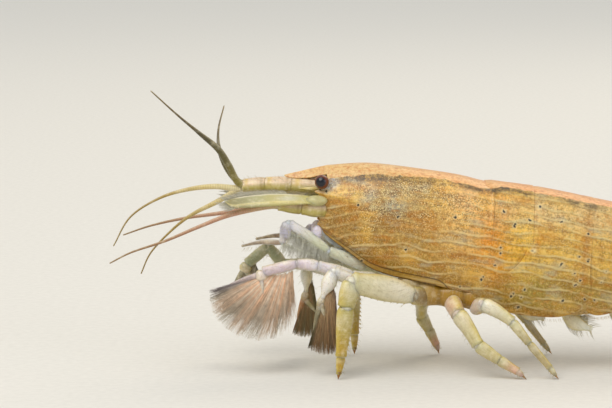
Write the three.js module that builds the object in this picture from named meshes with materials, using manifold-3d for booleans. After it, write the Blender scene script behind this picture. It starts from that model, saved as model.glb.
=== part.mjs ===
// A freshwater fan shrimp, life size, standing still on its three pairs of walking legs with its
// fans lowered in front of it. Millimetres, +Z up, floor at Z = 0, head towards -X, left side towards
// -Y. The origin is on the floor, under the middle of the whole animal's box.
import * as THREE from "three";
import { mergeVertices } from "three/addons/utils/BufferGeometryUtils.js";
import Module from "manifold-3d";

const wasm = await Module();
wasm.setup();

// ---------------------------------------------------------------- driving dimensions
const CARAPACE_LENGTH = 24; // orbit to the hind margin, along the back
const ORBIT_X = -18.4;
const SOMITE_LENGTHS = [5.6, 9.0, 7.2, 5.9, 5.7, 6.6]; // along the back, first to sixth
const TELSON_LENGTH = 9.4;
const TAIL_SLOPE = THREE.MathUtils.degToRad(28);
const FOOT_SPREAD = 10.5; // of each walking foot from the middle plane
const GAP = 0.3; // between pieces that meet
const THINNEST = 0.54; // of any feeler
const FIN_THICK = 0.6;
const LEFT = -1;
const RIGHT = 1;

const COLOURS = {
  shell: 0xb98a48,
  rostrum: 0xd9a983,
  limb: 0xcfc39a,
  feeler: 0x8d7452,
  eye: 0x2a1a12,
  fan: 0x9a6a45,
  fin: 0xbf9a62,
  mouth: 0xd8d2c0,
};

// ---------------------------------------------------------------- small tools
const v3 = (x, y, z) => new THREE.Vector3(x, y, z);
const { lerp, clamp, degToRad } = THREE.MathUtils;
const sideName = (side) => (side === LEFT ? "left" : "right");

// A value that runs smoothly through a few [position, value] pairs.
function curveOf(pairs) {
  const last = pairs.length - 1;
  const slope = (i) => {
    const a = pairs[Math.max(i - 1, 0)];
    const b = pairs[Math.min(i + 1, last)];
    return (b[1] - a[1]) / (b[0] - a[0]);
  };
  return (at) => {
    if (at <= pairs[0][0]) return pairs[0][1];
    if (at >= pairs[last][0]) return pairs[last][1];
    const i = pairs.findIndex((pair) => pair[0] > at) - 1;
    const span = pairs[i + 1][0] - pairs[i][0];
    const rise = pairs[i + 1][1] - pairs[i][1];
    const t = (at - pairs[i][0]) / span;
    const early = slope(i) * span - rise;
    const late = rise - slope(i + 1) * span;
    return pairs[i][1] + t * rise + t * (1 - t) * ((1 - t) * early + t * late);
  };
}

// Moves every vertex of a closed three.js geometry through place(point).
function warp(geometry, place) {
  const warped = geometry.clone();
  const position = warped.attributes.position;
  for (let i = 0; i < position.count; i++) {
    const p = place(v3(position.getX(i), position.getY(i), position.getZ(i)));
    position.setXYZ(i, p.x, p.y, p.z);
  }
  return warped;
}

// A manifold-3d solid of a closed geometry. A geometry that a mirroring turned inside out is turned back.
function solidOf(geometry) {
  const bare = geometry.clone();
  bare.deleteAttribute("normal");
  bare.deleteAttribute("uv");
  const merged = mergeVertices(bare, 1e-4);
  const triVerts = new Uint32Array(merged.index.array);
  const build = () =>
    new wasm.Manifold(
      new wasm.Mesh({ numProp: 3, vertProperties: merged.attributes.position.array, triVerts }),
    );
  const solid = build();
  if (solid.volume() > 0) return solid;
  for (let i = 0; i < triVerts.length; i += 3) {
    [triVerts[i + 1], triVerts[i + 2]] = [triVerts[i + 2], triVerts[i + 1]];
  }
  return build();
}

const join = (solids) => solids.reduce((sum, solid) => sum.add(solid));
const cut = (solid, ...tools) => tools.reduce((rest, tool) => rest.subtract(tool), solid);

// The largest piece of a solid that a cut has parted, as a three.js geometry.
function geometryOf(solid) {
  const pieces = solid.decompose();
  const mesh = pieces.reduce((a, b) => (b.volume() > a.volume() ? b : a)).getMesh();
  const vertices = new Float32Array(mesh.numVert * 3);
  for (let i = 0; i < mesh.numVert; i++) {
    const from = i * mesh.numProp;
    vertices.set(mesh.vertProperties.subarray(from, from + 3), i * 3);
  }
  return new THREE.BufferGeometry()
    .setAttribute("position", new THREE.BufferAttribute(vertices, 3))
    .setIndex(new THREE.BufferAttribute(mesh.triVerts, 1));
}

const shrimp = new THREE.Group();
function addNode(name, solid, colour) {
  const material = new THREE.MeshStandardMaterial({ color: colour, roughness: 0.45, metalness: 0 });
  const mesh = new THREE.Mesh(geometryOf(solid), material);
  mesh.name = name;
  shrimp.add(mesh);
}

// A cylinder whose sections place(share, angle, radius) lays out, with share from 0 to 1 along it.
function loft(sides, steps, place) {
  const base = new THREE.CylinderGeometry(1, 1, 1, sides, steps);
  const shareOf = (p) => 0.5 - p.y;
  return solidOf(
    warp(base, (p) => place(shareOf(p), Math.atan2(p.x, p.z), Math.hypot(p.x, p.z))),
  );
}

// A feeler: a tube along a smooth line through points, whose radius runs through radii.
function feeler(points, radii) {
  const steps = 9;
  const line = new THREE.CatmullRomCurve3(points, false, "centripetal");
  const radiusAt = curveOf(radii.map((r, i) => [i / (radii.length - 1), r]));
  const frames = line.computeFrenetFrames(steps, false);
  return loft(6, steps, (share, angle, radius) => {
    const i = Math.round(share * steps);
    const r = radius * radiusAt(share);
    return line
      .getPointAt(share)
      .addScaledVector(frames.normals[i], r * Math.cos(angle))
      .addScaledVector(frames.binormals[i], r * Math.sin(angle));
  });
}

// One limb segment: a turned spindle from a to b with domed ends, by its three radii.
function segment(a, b, [startRadius, middleRadius, endRadius], sides = 6) {
  const length = a.distanceTo(b);
  const profile = [
    [0, -0.6 * startRadius],
    [startRadius, 0],
    [middleRadius, 0.5 * length],
    [endRadius, length],
    [0, length + 0.6 * endRadius],
  ];
  const turned = new THREE.LatheGeometry(profile.map(([r, y]) => new THREE.Vector2(r, y)), sides);
  const direction = b.clone().sub(a).normalize();
  turned.applyQuaternion(new THREE.Quaternion().setFromUnitVectors(v3(0, 1, 0), direction));
  turned.translate(a.x, a.y, a.z);
  return solidOf(turned);
}

// A limb through its joints, with [start, middle, end] radii for each segment.
function limb(joints, radii, sides = 6) {
  return join(radii.map((three, i) => segment(joints[i], joints[i + 1], three, sides)));
}

// Joints given for the left side as [x, distance from the middle plane, z], taken to a side.
const onSide = (side, joints) => joints.map(([x, out, z]) => v3(x, side * out, z));

// ---------------------------------------------------------------- the trunk's form
const backLine = new THREE.CatmullRomCurve3(
  [
    v3(-20.6, 0, 29.55),
    v3(-15.5, 0, 30.0),
    v3(-12.5, 0, 30.05),
    v3(-3.8, 0, 29.1),
    v3(5.6, 0, 27.6),
    v3(11.1, 0, 26.85),
    v3(19.9, 0, 25.1),
    v3(27.0, 0, 23.4),
    v3(32.3, 0, 20.9),
    v3(36.8, 0, 17.7),
    v3(42.0, 0, 13.4),
  ],
  false,
  "centripetal",
);
const BACK_LENGTH = backLine.getLength();
const backAt = (s) => backLine.getPointAt(clamp(s / BACK_LENGTH, 0, 1));
const slopeAt = (s) => {
  const tangent = backLine.getTangentAt(clamp(s / BACK_LENGTH, 0, 1));
  return Math.atan2(-tangent.z, tangent.x);
};

// The distance along the back at which it reaches x.
function stationOf(x) {
  let low = 0;
  let high = BACK_LENGTH;
  for (let i = 0; i < 40; i++) {
    const middle = (low + high) / 2;
    if (backAt(middle).x < x) low = middle;
    else high = middle;
  }
  return low;
}

const CARAPACE_START = stationOf(ORBIT_X);
const CARAPACE_END = CARAPACE_START + CARAPACE_LENGTH;
const somiteEnds = SOMITE_LENGTHS.reduce((ends, l) => [...ends, ends.at(-1) + l], [CARAPACE_END]);

const halfWidthAt = curveOf([
  [-18.4, 3.4], [-14, 4.9], [-9, 6.1], [-3, 6.6], [5, 6.5], [8, 6.3],
  [15, 6.6], [22, 6.1], [28, 5.2], [33, 4.2], [37, 3.4], [42, 2.9],
]);
const carapaceDepthAt = curveOf([
  [-18.4, 9.5], [-16.4, 11.1], [-14.5, 12.5], [-12.3, 14.1], [-10.3, 15.0], [-6.4, 15.6], [5.6, 16.2],
]);
const pleonDepthAt = curveOf([
  [5, 18.3], [9, 18.8], [16.5, 18.0], [21, 16.9], [25, 15.6], [29, 13.4], [33, 10.4], [36.5, 7.8], [42, 6.2],
]);
const leanAt = curveOf([[5, 0.2], [20, 0.5], [37, 1]]); // how far a section follows the back's slope

const FLANK_ANGLE = degToRad(135); // from the back round to the lower edge
const FLANK_SHARE = 0.78; // of a section's half circle; the rest is the underside
const BOXINESS = 0.75; // below 1, a section is fuller than a circle

// Where a section passes at an angle from the back: out from the middle plane, and down as a share.
function sectionAt(angle, undersideDepth) {
  const side = Math.sign(angle) || 1;
  const turn = Math.abs(angle) / Math.PI / FLANK_SHARE;
  const edge = Math.sin(FLANK_ANGLE) ** BOXINESS;
  if (turn <= 1) {
    const bend = turn * FLANK_ANGLE;
    const down = (1 - Math.cos(bend)) / (1 - Math.cos(FLANK_ANGLE));
    return { out: side * Math.sin(bend) ** BOXINESS, down };
  }
  const inward = (turn - 1) / (1 / FLANK_SHARE - 1);
  const rise = (1 - undersideDepth) * Math.sin((inward * Math.PI) / 2);
  return { out: side * edge * (1 - inward), down: 1 - rise };
}

// A point of the trunk: s along the back, an angle round it, and radius 1 on its surface.
function trunkPoint(s, angle, radius, shape) {
  const { depth, underside, lean, slant, grow } = shape;
  const back = backAt(s);
  const section = sectionAt(angle, underside);
  const drop = lerp(0.45, section.down, radius) * (depth + 2 * grow) - grow;
  const out = radius * section.out * (halfWidthAt(back.x) + grow);
  return v3(
    back.x - drop * Math.sin(lean) + radius * slant(clamp(section.down, 0, 1)),
    out,
    back.z - drop * Math.cos(lean),
  );
}

// ---------------------------------------------------------------- carapace and rostrum
const frontSlant = (down) => -1.6 * Math.min(down / 0.35, 1);
const rearSlant = (down) => -2.3 * down ** 2.2;

function carapace(grow = 0) {
  return loft(24, 10, (share, angle, radius) => {
    const s = lerp(CARAPACE_START - grow, CARAPACE_END + grow, share);
    const slant = (down) => lerp(frontSlant(down), rearSlant(down), share);
    const depth = carapaceDepthAt(backAt(s).x);
    return trunkPoint(s, angle, radius, { depth, underside: 0.88, lean: 0, slant, grow });
  });
}

const ROSTRUM_TIP_X = -25.3;
const rostrumHalfWidthAt = curveOf([[0, 0.3], [0.35, 0.8], [0.75, 1.6], [1, 2.2]]);
const rostrumTopAt = curveOf([[0, 28.3], [0.35, 29.15], [0.7, 29.6], [1, 29.85]]);
const rostrumUndersideAt = curveOf([[0, 27.9], [0.4, 27.95], [1, 27.9]]);

function rostrum(grow = 0) {
  return loft(8, 5, (share, angle, radius) => {
    const top = rostrumTopAt(share) + grow;
    const bottom = rostrumUndersideAt(share) - grow;
    return v3(
      lerp(ROSTRUM_TIP_X - grow, ORBIT_X + 1.5, share),
      radius * (rostrumHalfWidthAt(share) + grow) * Math.sin(angle),
      lerp(bottom, top, 0.5 + 0.5 * radius * Math.cos(angle)),
    );
  });
}

// The soft underside that the legs hang from, between the carapace's lower edges.
function thoraxUnderside(grow = 0) {
  return loft(10, 6, (share, angle, radius) => {
    const x = lerp(-15.5 - grow, 6.6 + grow, share);
    const level = backAt(stationOf(x)).z - carapaceDepthAt(x + 1.5) - 0.4;
    const halfWidth = lerp(2.2, 3.9, Math.sin(share * Math.PI) ** 0.5) + grow;
    return v3(
      x,
      radius * halfWidth * Math.sin(angle),
      level + radius * (1.4 + grow) * Math.cos(angle),
    );
  });
}

// ---------------------------------------------------------------- pleon
function somite(index, grow = 0) {
  const hasPleura = index < 5;
  return loft(18, 3, (share, angle, radius) => {
    const s = lerp(somiteEnds[index] + GAP - grow, somiteEnds[index + 1] + grow, share);
    const { x } = backAt(s);
    const lobe = hasPleura ? 1 - 0.07 * Math.abs(2 * share - 1) ** 3 : 1;
    return trunkPoint(s, angle, radius, {
      depth: pleonDepthAt(x) * lobe,
      underside: hasPleura ? 0.78 : 0.97,
      lean: leanAt(x) * slopeAt(s),
      slant: () => 0,
      grow,
    });
  });
}

// ---------------------------------------------------------------- eyes and feelers
const EYE_RADIUS = 1.05;
function eye(side, grow = 0) {
  const [stalkRoot, stalkTip, centre] = onSide(side, [
    [-18.8, 2.0, 27.3], [-19.4, 3.2, 27.7], [-19.6, 3.7, 27.8],
  ]);
  const ball = new THREE.SphereGeometry(EYE_RADIUS + grow, 8, 6);
  ball.translate(centre.x, centre.y, centre.z);
  return solidOf(ball).add(segment(stalkRoot, stalkTip, [0.65, 0.75, 0.8].map((r) => r + grow)));
}

// The first feeler's stem has three segments and carries two whips.
const STEM_OUT = 1.35;
const STEM_JOINTS = [[-20.1, STEM_OUT, 26.75], [-24.1, STEM_OUT, 27.05], [-28.0, STEM_OUT, 27.1], [-31.2, STEM_OUT, 26.85]];
const STEM_RADII = [[0.95, 1.05, 0.9], [0.95, 1.0, 0.85], [0.9, 0.95, 0.8]];
const antennuleStem = (side) => limb(onSide(side, STEM_JOINTS), STEM_RADII);

const outerWhip = {
  left: [[-31.9, 1.6, 27.2], [-33.2, 2.0, 30.1], [-34.6, 2.5, 32.4], [-37.3, 3.1, 34.8], [-40.4, 3.9, 37.5], [-44.3, 5, 41.2]],
  right: [[-31.9, 1.6, 26.9], [-33.6, 2.3, 29.4], [-34.7, 3.2, 32.1], [-34.8, 4.4, 34.7], [-34.0, 6, 38.1]],
};
const innerWhip = {
  left: [[-32.1, 1.0, 26.6], [-35.2, 1.5, 26.9], [-38.8, 2.2, 26.6], [-43.1, 3, 25.4], [-47.4, 4, 22.7], [-49.8, 5.2, 18.6]],
  right: [[-32.1, 1.0, 26.0], [-34.6, 1.5, 24.5], [-39.0, 2.3, 22.1], [-42.0, 3, 19.6], [-45.0, 4, 16.2], [-46.4, 4.6, 13.1]],
};
const OUTER_WHIP_RADII = [0.5, 0.42, 0.34, THINNEST / 2, THINNEST / 2];
const INNER_WHIP_RADII = [0.42, 0.34, THINNEST / 2, THINNEST / 2];

// The second feeler: a short stem below the scale, then one long whip.
const ANTENNA_STEM = [[-19.6, 3.3, 23.4], [-22.6, 3.5, 23.9], [-26.0, 3.5, 24.2]];
const ANTENNA_RADII = [[0.95, 1.1, 0.9], [0.85, 0.8, 0.6]];
const antennaWhip = {
  left: [[-26.8, 3.5, 24.3], [-32.9, 4.4, 23.1], [-37.3, 5.2, 21.5], [-42.3, 6.2, 19.5], [-47.3, 7.2, 17.9], [-50.2, 8, 16.5]],
  right: [[-26.8, 3.5, 24.0], [-33.1, 4.2, 22.5], [-39.8, 5.2, 21.4], [-45.1, 6.2, 20.1], [-49.2, 7, 18.6]],
};
const ANTENNA_WHIP_RADII = [0.42, 0.34, 0.3, THINNEST / 2];

// The antennal scale: a blade with a straight outer edge and a rounded inner one, rolled so that its
// outer edge hangs a little lower.
const SCALE_LENGTH = 13.2;
const SCALE_ROLL = degToRad(27);
function antennalScale(side) {
  const outline = new THREE.Shape();
  outline.moveTo(0, -0.9);
  outline.lineTo(0, 0.9);
  outline.lineTo(0.88 * SCALE_LENGTH, 1.5);
  outline.quadraticCurveTo(1.05 * SCALE_LENGTH, 0.6, 0.93 * SCALE_LENGTH, -0.9);
  outline.quadraticCurveTo(0.5 * SCALE_LENGTH, -2.7, 0, -0.9);
  const plate = new THREE.ExtrudeGeometry(outline, {
    depth: FIN_THICK, bevelEnabled: false, curveSegments: 6,
  });
  const spread = degToRad(5);
  return solidOf(
    warp(plate, (p) => {
      const across = p.y * Math.cos(SCALE_ROLL) + p.z * Math.sin(SCALE_ROLL);
      const up = p.z * Math.cos(SCALE_ROLL) - p.y * Math.sin(SCALE_ROLL);
      const forward = p.x * Math.cos(spread) - across * Math.sin(spread);
      const out = p.x * Math.sin(spread) + across * Math.cos(spread);
      return v3(-20.6 - forward, side * (3.9 + out), 25.0 + up - 0.02 * p.x);
    }),
  );
}

// ---------------------------------------------------------------- mouthparts and foremost legs
const mouthparts = (grow = 0) =>
  solidOf(
    new THREE.SphereGeometry(1, 8, 6)
      .scale(3.1 + grow, 2.6 + grow, 1.9 + grow)
      .rotateY(degToRad(38))
      .translate(-16.8, 0, 18.4),
  );

const maxilliped = {
  left: [[-13.4, 2.6, 15.2], [-18.6, 3.3, 17.6], [-24.5, 4.4, 21.8], [-25.4, 4.4, 19.0], [-31.3, 4.2, 18.5]],
  right: [[-13.4, 2.6, 15.2], [-17.2, 3.3, 17.6], [-21.0, 4.3, 21.0], [-23.6, 4.3, 19.3], [-29.4, 4.2, 19.0]],
};
const MAXILLIPED_RADII = [[0.75, 0.95, 0.85], [0.85, 1.15, 0.9], [0.9, 0.75, 0.5], [0.45, 0.38, 0.27]];

// Each arm runs from its hip to the root of its fan. The fan opens between two directions in the
// upright plane of the hand, in degrees up from -X. Its bristles are rooted along a rail, from the
// hand back along the arm, and reach [at the first, at the last] plus a belly between them.
const arms = {
  first_left: {
    side: LEFT, opens: [-17, -92], reach: [8.2, 8.4], belly: 2.4, rail: [4.4, 0.2], yaw: 4,
    joints: [[-10.6, 3.4, 13.5], [-15.2, 5.0, 14.3], [-20.2, 6.0, 15.9], [-23.2, 6.0, 16.2], [-28.2, 6.2, 15.0]],
  },
  first_right: {
    side: RIGHT, opens: [-58, -112], reach: [7.6, 7.8], belly: 0.8, rail: [1.2, 0], yaw: 4,
    joints: [[-10.6, 3.4, 13.5], [-16.4, 4.9, 14.8], [-25.3, 5.8, 14.4], [-27.5, 6.0, 17.1], [-30.7, 6.2, 14.4]],
  },
  second_left: {
    side: LEFT, opens: [-74, -112], reach: [7.4, 7.4], belly: 0.4, rail: [0.8, 0], yaw: -6,
    joints: [[-7.0, 3.4, 12.2], [-12.2, 5.4, 12.4], [-17.9, 7.7, 15.2], [-19.6, 7.9, 11.4]],
  },
  second_right: {
    side: RIGHT, opens: [-70, -108], reach: [6.4, 6.2], belly: 0.4, rail: [0.8, 0], yaw: -6,
    joints: [[-7.0, 3.4, 12.2], [-14.0, 6.2, 12.2], [-21.8, 8.2, 14.0], [-21.9, 8.4, 9.8]],
  },
};
const ARM_RADII = {
  first: [[0.8, 0.9, 0.75], [0.8, 0.95, 0.8], [0.8, 0.9, 0.75], [0.75, 0.85, 0.8]],
  second: [[0.8, 0.9, 0.75], [0.8, 0.95, 0.85], [0.85, 1.05, 0.85]],
};
const FAN_BOW = 0.14; // how far a fan's middle bows outwards, as a share of its reach
const armOf = (name, arm, grow = 0) => {
  const radii = ARM_RADII[name.split("_")[0]].map((three) => three.map((r) => r + grow));
  return limb(onSide(arm.side, arm.joints), radii, 5);
};

const handOf = (root, radii) => segment(root, v3(root.x - 0.4, root.y, root.z - 1.2), radii);
function fan({ side, joints, opens, reach, belly, rail, yaw }, armRoom) {
  const root = onSide(side, joints).at(-1);
  const turn = degToRad(yaw);
  const base = new THREE.BoxGeometry(1, 1, 1, 6, 1, 3);
  const leaf = warp(base, (p) => {
    const open = p.x + 0.5;
    const angle = degToRad(lerp(...opens, open));
    const out = lerp(0.06, 1, p.z + 0.5) * (lerp(...reach, open) + 4 * belly * open * (1 - open));
    const forward = out * Math.cos(angle);
    const sideways = FAN_BOW * out * (1 - 4 * p.x * p.x) + p.y * FIN_THICK;
    return v3(
      root.x + rail[0] * open - forward * Math.cos(turn),
      root.y + side * (sideways + forward * Math.sin(turn)),
      root.z + rail[1] * open - 0.35 + out * Math.sin(angle),
    );
  });
  return cut(solidOf(leaf), armRoom).add(handOf(root, [0.75, 0.85, 0.7]));
}

// ---------------------------------------------------------------- walking legs
const STOUT_RADII = [[1.2, 1.45, 1.3], [1.5, 1.9, 1.6], [1.45, 1.55, 1.35], [1.3, 1.15, 0.85], [0.7, 0.6, 0.5]];
const FOURTH_RADII = [[1.05, 1.2, 1.1], [1.15, 1.1, 0.9], [0.95, 0.9, 0.75], [0.75, 0.7, 0.55], [0.5, 0.45, 0.42]];
const FIFTH_RADII = [[0.9, 1.0, 0.8], [0.85, 0.75, 0.6], [0.65, 0.6, 0.5], [0.55, 0.5, 0.45], [0.45, 0.42, 0.42]];
const walkingLegs = {
  third_left: {
    side: LEFT, radii: STOUT_RADII,
    joints: [[-4.2, 3.6, 11.0], [-6.5, 6.0, 11.5], [-15.4, 9.5, 13.9], [-16.2, 10.0, 10.4], [-16.9, 10.3, 3.2], [-17.3, FOOT_SPREAD, 0]],
  },
  third_right: {
    side: RIGHT, radii: STOUT_RADII,
    joints: [[-4.2, 3.6, 11.0], [-6.6, 6.2, 11.4], [-14.6, 9.6, 13.7], [-14.9, 10.1, 9.8], [-14.6, 10.4, 3.0], [-14.6, FOOT_SPREAD, 0]],
  },
  fourth_left: {
    side: LEFT, radii: FOURTH_RADII,
    joints: [[-0.9, 3.7, 10.8], [0.1, 6.9, 8.9], [2.9, 9.1, 4.7], [5.9, 9.8, 2.7], [8.6, 10.2, 1.1], [9.8, FOOT_SPREAD, 0]],
  },
  fourth_right: {
    side: RIGHT, radii: FOURTH_RADII,
    joints: [[-0.9, 3.7, 10.8], [-4.6, 7.0, 9.0], [-4.6, 9.0, 6.1], [-3.4, 9.8, 3.9], [-2.2, 10.3, 1.4], [-1.8, FOOT_SPREAD, 0]],
  },
  fifth_left: {
    side: LEFT, radii: FIFTH_RADII,
    joints: [[2.6, 3.8, 9.4], [3.7, 7.3, 10.4], [7.8, 8.8, 8.1], [10.2, 9.4, 5.1], [13.2, 10.2, 1.6], [14.4, FOOT_SPREAD, 0]],
  },
  fifth_right: {
    side: RIGHT, radii: FIFTH_RADII,
    joints: [[2.6, 3.8, 9.4], [4.4, 7.4, 10.2], [9.0, 8.9, 8.0], [11.2, 9.5, 5.2], [14.0, 10.2, 1.6], [15.2, FOOT_SPREAD, 0]],
  },
};
const belowFloor = solidOf(new THREE.BoxGeometry(200, 100, 10).translate(0, 0, -5));

// ---------------------------------------------------------------- swimming legs and tail fan
const PLEOPOD_SIZES = [0.9, 1, 0.95, 0.85, 0.7];
function pleopod(index, side) {
  const s = lerp(somiteEnds[index], somiteEnds[index + 1], 0.5);
  const back = backAt(s);
  const lean = leanAt(back.x) * slopeAt(s);
  const size = PLEOPOD_SIZES[index];
  const roof = 0.78 * pleonDepthAt(back.x);
  const hang = (drop, behind, out) =>
    v3(
      back.x - drop * Math.sin(lean) + behind * Math.cos(lean),
      side * out,
      back.z - drop * Math.cos(lean) - behind * Math.sin(lean),
    );
  const root = hang(roof - 0.2, 0, 2.3 * size);
  const knee = hang(roof + 3.0 * size, 1.2 * size, 2.7 * size);
  const tip = hang(roof + 5.2 * size, 6.0 * size, 2.9 * size);
  const stem = segment(root, knee, [0.5, 0.75 * size, 0.6], 5);
  return stem.add(segment(knee, tip, [0.5, 1.3 * size, 0.4], 5));
}

// A tail blade in its own plane: backwards along x from its root, widest near its round end.
function tailBlade(length, rootHalf, widest, endHalf, thick) {
  const outline = new THREE.Shape();
  outline.moveTo(0, -rootHalf);
  outline.quadraticCurveTo(0.45 * length, -1.08 * widest, 0.88 * length, -endHalf);
  outline.quadraticCurveTo(1.12 * length, 0, 0.88 * length, endHalf);
  outline.quadraticCurveTo(0.45 * length, 1.08 * widest, 0, rootHalf);
  return new THREE.ExtrudeGeometry(outline, { depth: thick, bevelEnabled: false, curveSegments: 6 });
}

// Sets a blade on the tail: turned out by yaw, rolled by droop, its root at x, y, z of the tail's frame.
const tailRoot = backAt(somiteEnds.at(-1));
function onTail(blade, yaw, droop, x, y, z) {
  const placed = blade.clone();
  placed.rotateX(degToRad(droop));
  placed.rotateZ(degToRad(yaw));
  placed.translate(x, y, z);
  placed.rotateY(TAIL_SLOPE);
  placed.translate(tailRoot.x, 0, tailRoot.z);
  return solidOf(placed);
}

// ---------------------------------------------------------------- the scene graph
const carapaceRoom = carapace(GAP);
const headRoom = carapaceRoom.add(rostrum(GAP));
const thoraxRoom = thoraxUnderside(GAP);
const mouthRoom = mouthparts(GAP);
const somiteRooms = SOMITE_LENGTHS.map((_, i) => somite(i, GAP));

addNode("carapace", carapace(), COLOURS.shell);
addNode("rostrum", cut(rostrum(), carapaceRoom), COLOURS.rostrum);
const underside = cut(thoraxUnderside(), carapaceRoom, somiteRooms[0], somiteRooms[1]);
addNode("thorax_underside", underside, COLOURS.mouth);
addNode("mouthparts", cut(mouthparts(), carapaceRoom, thoraxRoom), COLOURS.mouth);
SOMITE_LENGTHS.forEach((_, i) => {
  const solid = i === 0 ? cut(somite(i), carapaceRoom) : cut(somite(i), somiteRooms[i - 1]);
  addNode(`pleon_somite_${i + 1}`, solid, COLOURS.shell);
});

for (const side of [LEFT, RIGHT]) {
  const name = sideName(side);
  const eyeRoom = eye(side, GAP);
  addNode(`eye_${name}`, cut(eye(side), headRoom), COLOURS.eye);
  addNode(`antennule_stem_${name}`, cut(antennuleStem(side), headRoom, eyeRoom), COLOURS.limb);
  const stemEnd = onSide(side, STEM_JOINTS.slice(-2));
  const stemRoom = segment(...stemEnd, [1.2, 1.2, 1.0], 7);
  const outer = cut(feeler(onSide(side, outerWhip[name]), OUTER_WHIP_RADII), stemRoom);
  const inner = cut(feeler(onSide(side, innerWhip[name]), INNER_WHIP_RADII), stemRoom, outer);
  addNode(`antennule_outer_whip_${name}`, outer, COLOURS.feeler);
  addNode(`antennule_inner_whip_${name}`, inner, COLOURS.feeler);
  addNode(`antennal_scale_${name}`, cut(antennalScale(side), headRoom, eyeRoom), COLOURS.fin);
  const antennaStem = limb(onSide(side, ANTENNA_STEM), ANTENNA_RADII);
  addNode(`antenna_stem_${name}`, cut(antennaStem, headRoom, mouthRoom), COLOURS.limb);
  addNode(`antenna_whip_${name}`, feeler(onSide(side, antennaWhip[name]), ANTENNA_WHIP_RADII), COLOURS.feeler);
  const mouthLeg = limb(onSide(side, maxilliped[name]), MAXILLIPED_RADII, 5);
  addNode(`maxilliped_third_${name}`, cut(mouthLeg, headRoom, thoraxRoom, mouthRoom), COLOURS.mouth);
  for (let i = 0; i < PLEOPOD_SIZES.length; i++) {
    const swimmer = cut(pleopod(i, side), thoraxRoom, ...somiteRooms);
    addNode(`pleopod_${i + 1}_${name}`, swimmer, COLOURS.limb);
  }
}

for (const [name, arm] of Object.entries(arms)) {
  const handRoom = handOf(onSide(arm.side, arm.joints).at(-1), [1.05, 1.15, 1.0]);
  const armSolid = cut(armOf(name, arm), handRoom, headRoom, thoraxRoom, mouthRoom);
  addNode(`cheliped_${name}`, armSolid, COLOURS.limb);
  addNode(`fan_${name}`, fan(arm, armOf(name, arm, 0.3)), COLOURS.fan);
}

for (const [name, { side, joints, radii }] of Object.entries(walkingLegs)) {
  const leg = limb(onSide(side, joints), radii);
  const standing = cut(leg, belowFloor, headRoom, thoraxRoom, ...somiteRooms.slice(0, 3));
  addNode(`leg_${name}`, standing, COLOURS.limb);
}

addNode("telson", onTail(tailBlade(TELSON_LENGTH, 2.1, 2.0, 0.8, 0.9), 0, 0, 0.4, 0, -1.1), COLOURS.fin);
for (const side of [LEFT, RIGHT]) {
  const name = sideName(side);
  const inner = tailBlade(9.6, 0.8, 2.4, 1.7, FIN_THICK);
  const outer = tailBlade(10.4, 0.9, 3.1, 2.3, FIN_THICK);
  addNode(`uropod_inner_${name}`, onTail(inner, side * 14, side * -6, 0.1, side * 1.7, -2.4), COLOURS.fin);
  addNode(`uropod_outer_${name}`, onTail(outer, side * 32, side * -9, -0.1, side * 2.3, -3.6), COLOURS.fin);
}

export default shrimp;
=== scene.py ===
# %% [markdown]
# # A freshwater fan shrimp, life size
# The CAD model gives the size and the place of every part. This notebook dresses it: thin shell plates over
# one soft body, jointed legs, ringed feelers and brushes of fine bristles. Head towards -X, left side
# towards -Y, floor at Z = 0. Every form is worked out in millimetres and turned to metres when its mesh is
# made, so the numbers read like a rule.

# %% Load the fixed frame
import math
import random

import bmesh
import bpy
import numpy as np
from mathutils import Matrix, Vector


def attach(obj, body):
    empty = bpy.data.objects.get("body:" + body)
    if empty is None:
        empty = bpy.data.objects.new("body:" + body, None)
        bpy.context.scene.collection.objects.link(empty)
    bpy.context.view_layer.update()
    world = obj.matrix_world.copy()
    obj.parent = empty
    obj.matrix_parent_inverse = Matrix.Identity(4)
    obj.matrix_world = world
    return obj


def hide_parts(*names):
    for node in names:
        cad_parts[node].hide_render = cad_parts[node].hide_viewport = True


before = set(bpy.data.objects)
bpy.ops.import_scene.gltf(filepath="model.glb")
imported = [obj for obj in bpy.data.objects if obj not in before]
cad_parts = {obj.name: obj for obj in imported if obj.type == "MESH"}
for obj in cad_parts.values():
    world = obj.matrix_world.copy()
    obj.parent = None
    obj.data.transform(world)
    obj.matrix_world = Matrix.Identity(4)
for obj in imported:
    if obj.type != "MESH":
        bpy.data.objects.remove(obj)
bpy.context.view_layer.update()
MM = 0.001
LEFT, RIGHT = -1, 1
SIDES = {"left": LEFT, "right": RIGHT}
print("nodes in the frame:", len(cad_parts))


def link(name, data):
    """A new object in the scene."""
    made = bpy.data.objects.new(name, data)
    bpy.context.scene.collection.objects.link(made)
    return made



# %% [markdown]
# The camera comes first, so that every later step can be looked at from the same place. A long lens well
# back keeps the feelers and the far legs from shrinking, as in close-up pictures of small animals.

# %% Camera
CAMERA_TARGET = Vector((-21.91, 0.0, 24.14)) * MM
CAMERA_DISTANCE = 420 * MM
CAMERA_ELEVATION = math.radians(7)

camera_data = bpy.data.cameras.new("long_lens")
camera_data.sensor_width = 36
camera_data.lens = 168.9
camera_data.clip_start = 0.01
camera_data.clip_end = 30
camera = link("camera", camera_data)
towards_camera = Vector((0, -math.cos(CAMERA_ELEVATION), math.sin(CAMERA_ELEVATION)))
camera.location = CAMERA_TARGET + towards_camera * CAMERA_DISTANCE
camera.rotation_euler = (math.pi / 2 - CAMERA_ELEVATION, 0, 0)
bpy.context.scene.camera = camera
print("camera at", [round(c, 3) for c in camera.location])

# %% [markdown]
# A few number tools do most of the shaping. A profile runs smoothly through a handful of [place, value]
# pairs, which is how a modeller reads widths and depths off an animal. A line runs smoothly through points
# and is walked by distance.


# %% Number tools
def lerp(a, b, share):
    return a + (b - a) * share


def clamp(value, low=0.0, high=1.0):
    return min(max(value, low), high)


def rise(value, low, high):
    """0 before low, 1 after high, and a smooth step between."""
    t = clamp((value - low) / (high - low))
    return t * t * (3 - 2 * t)


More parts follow.
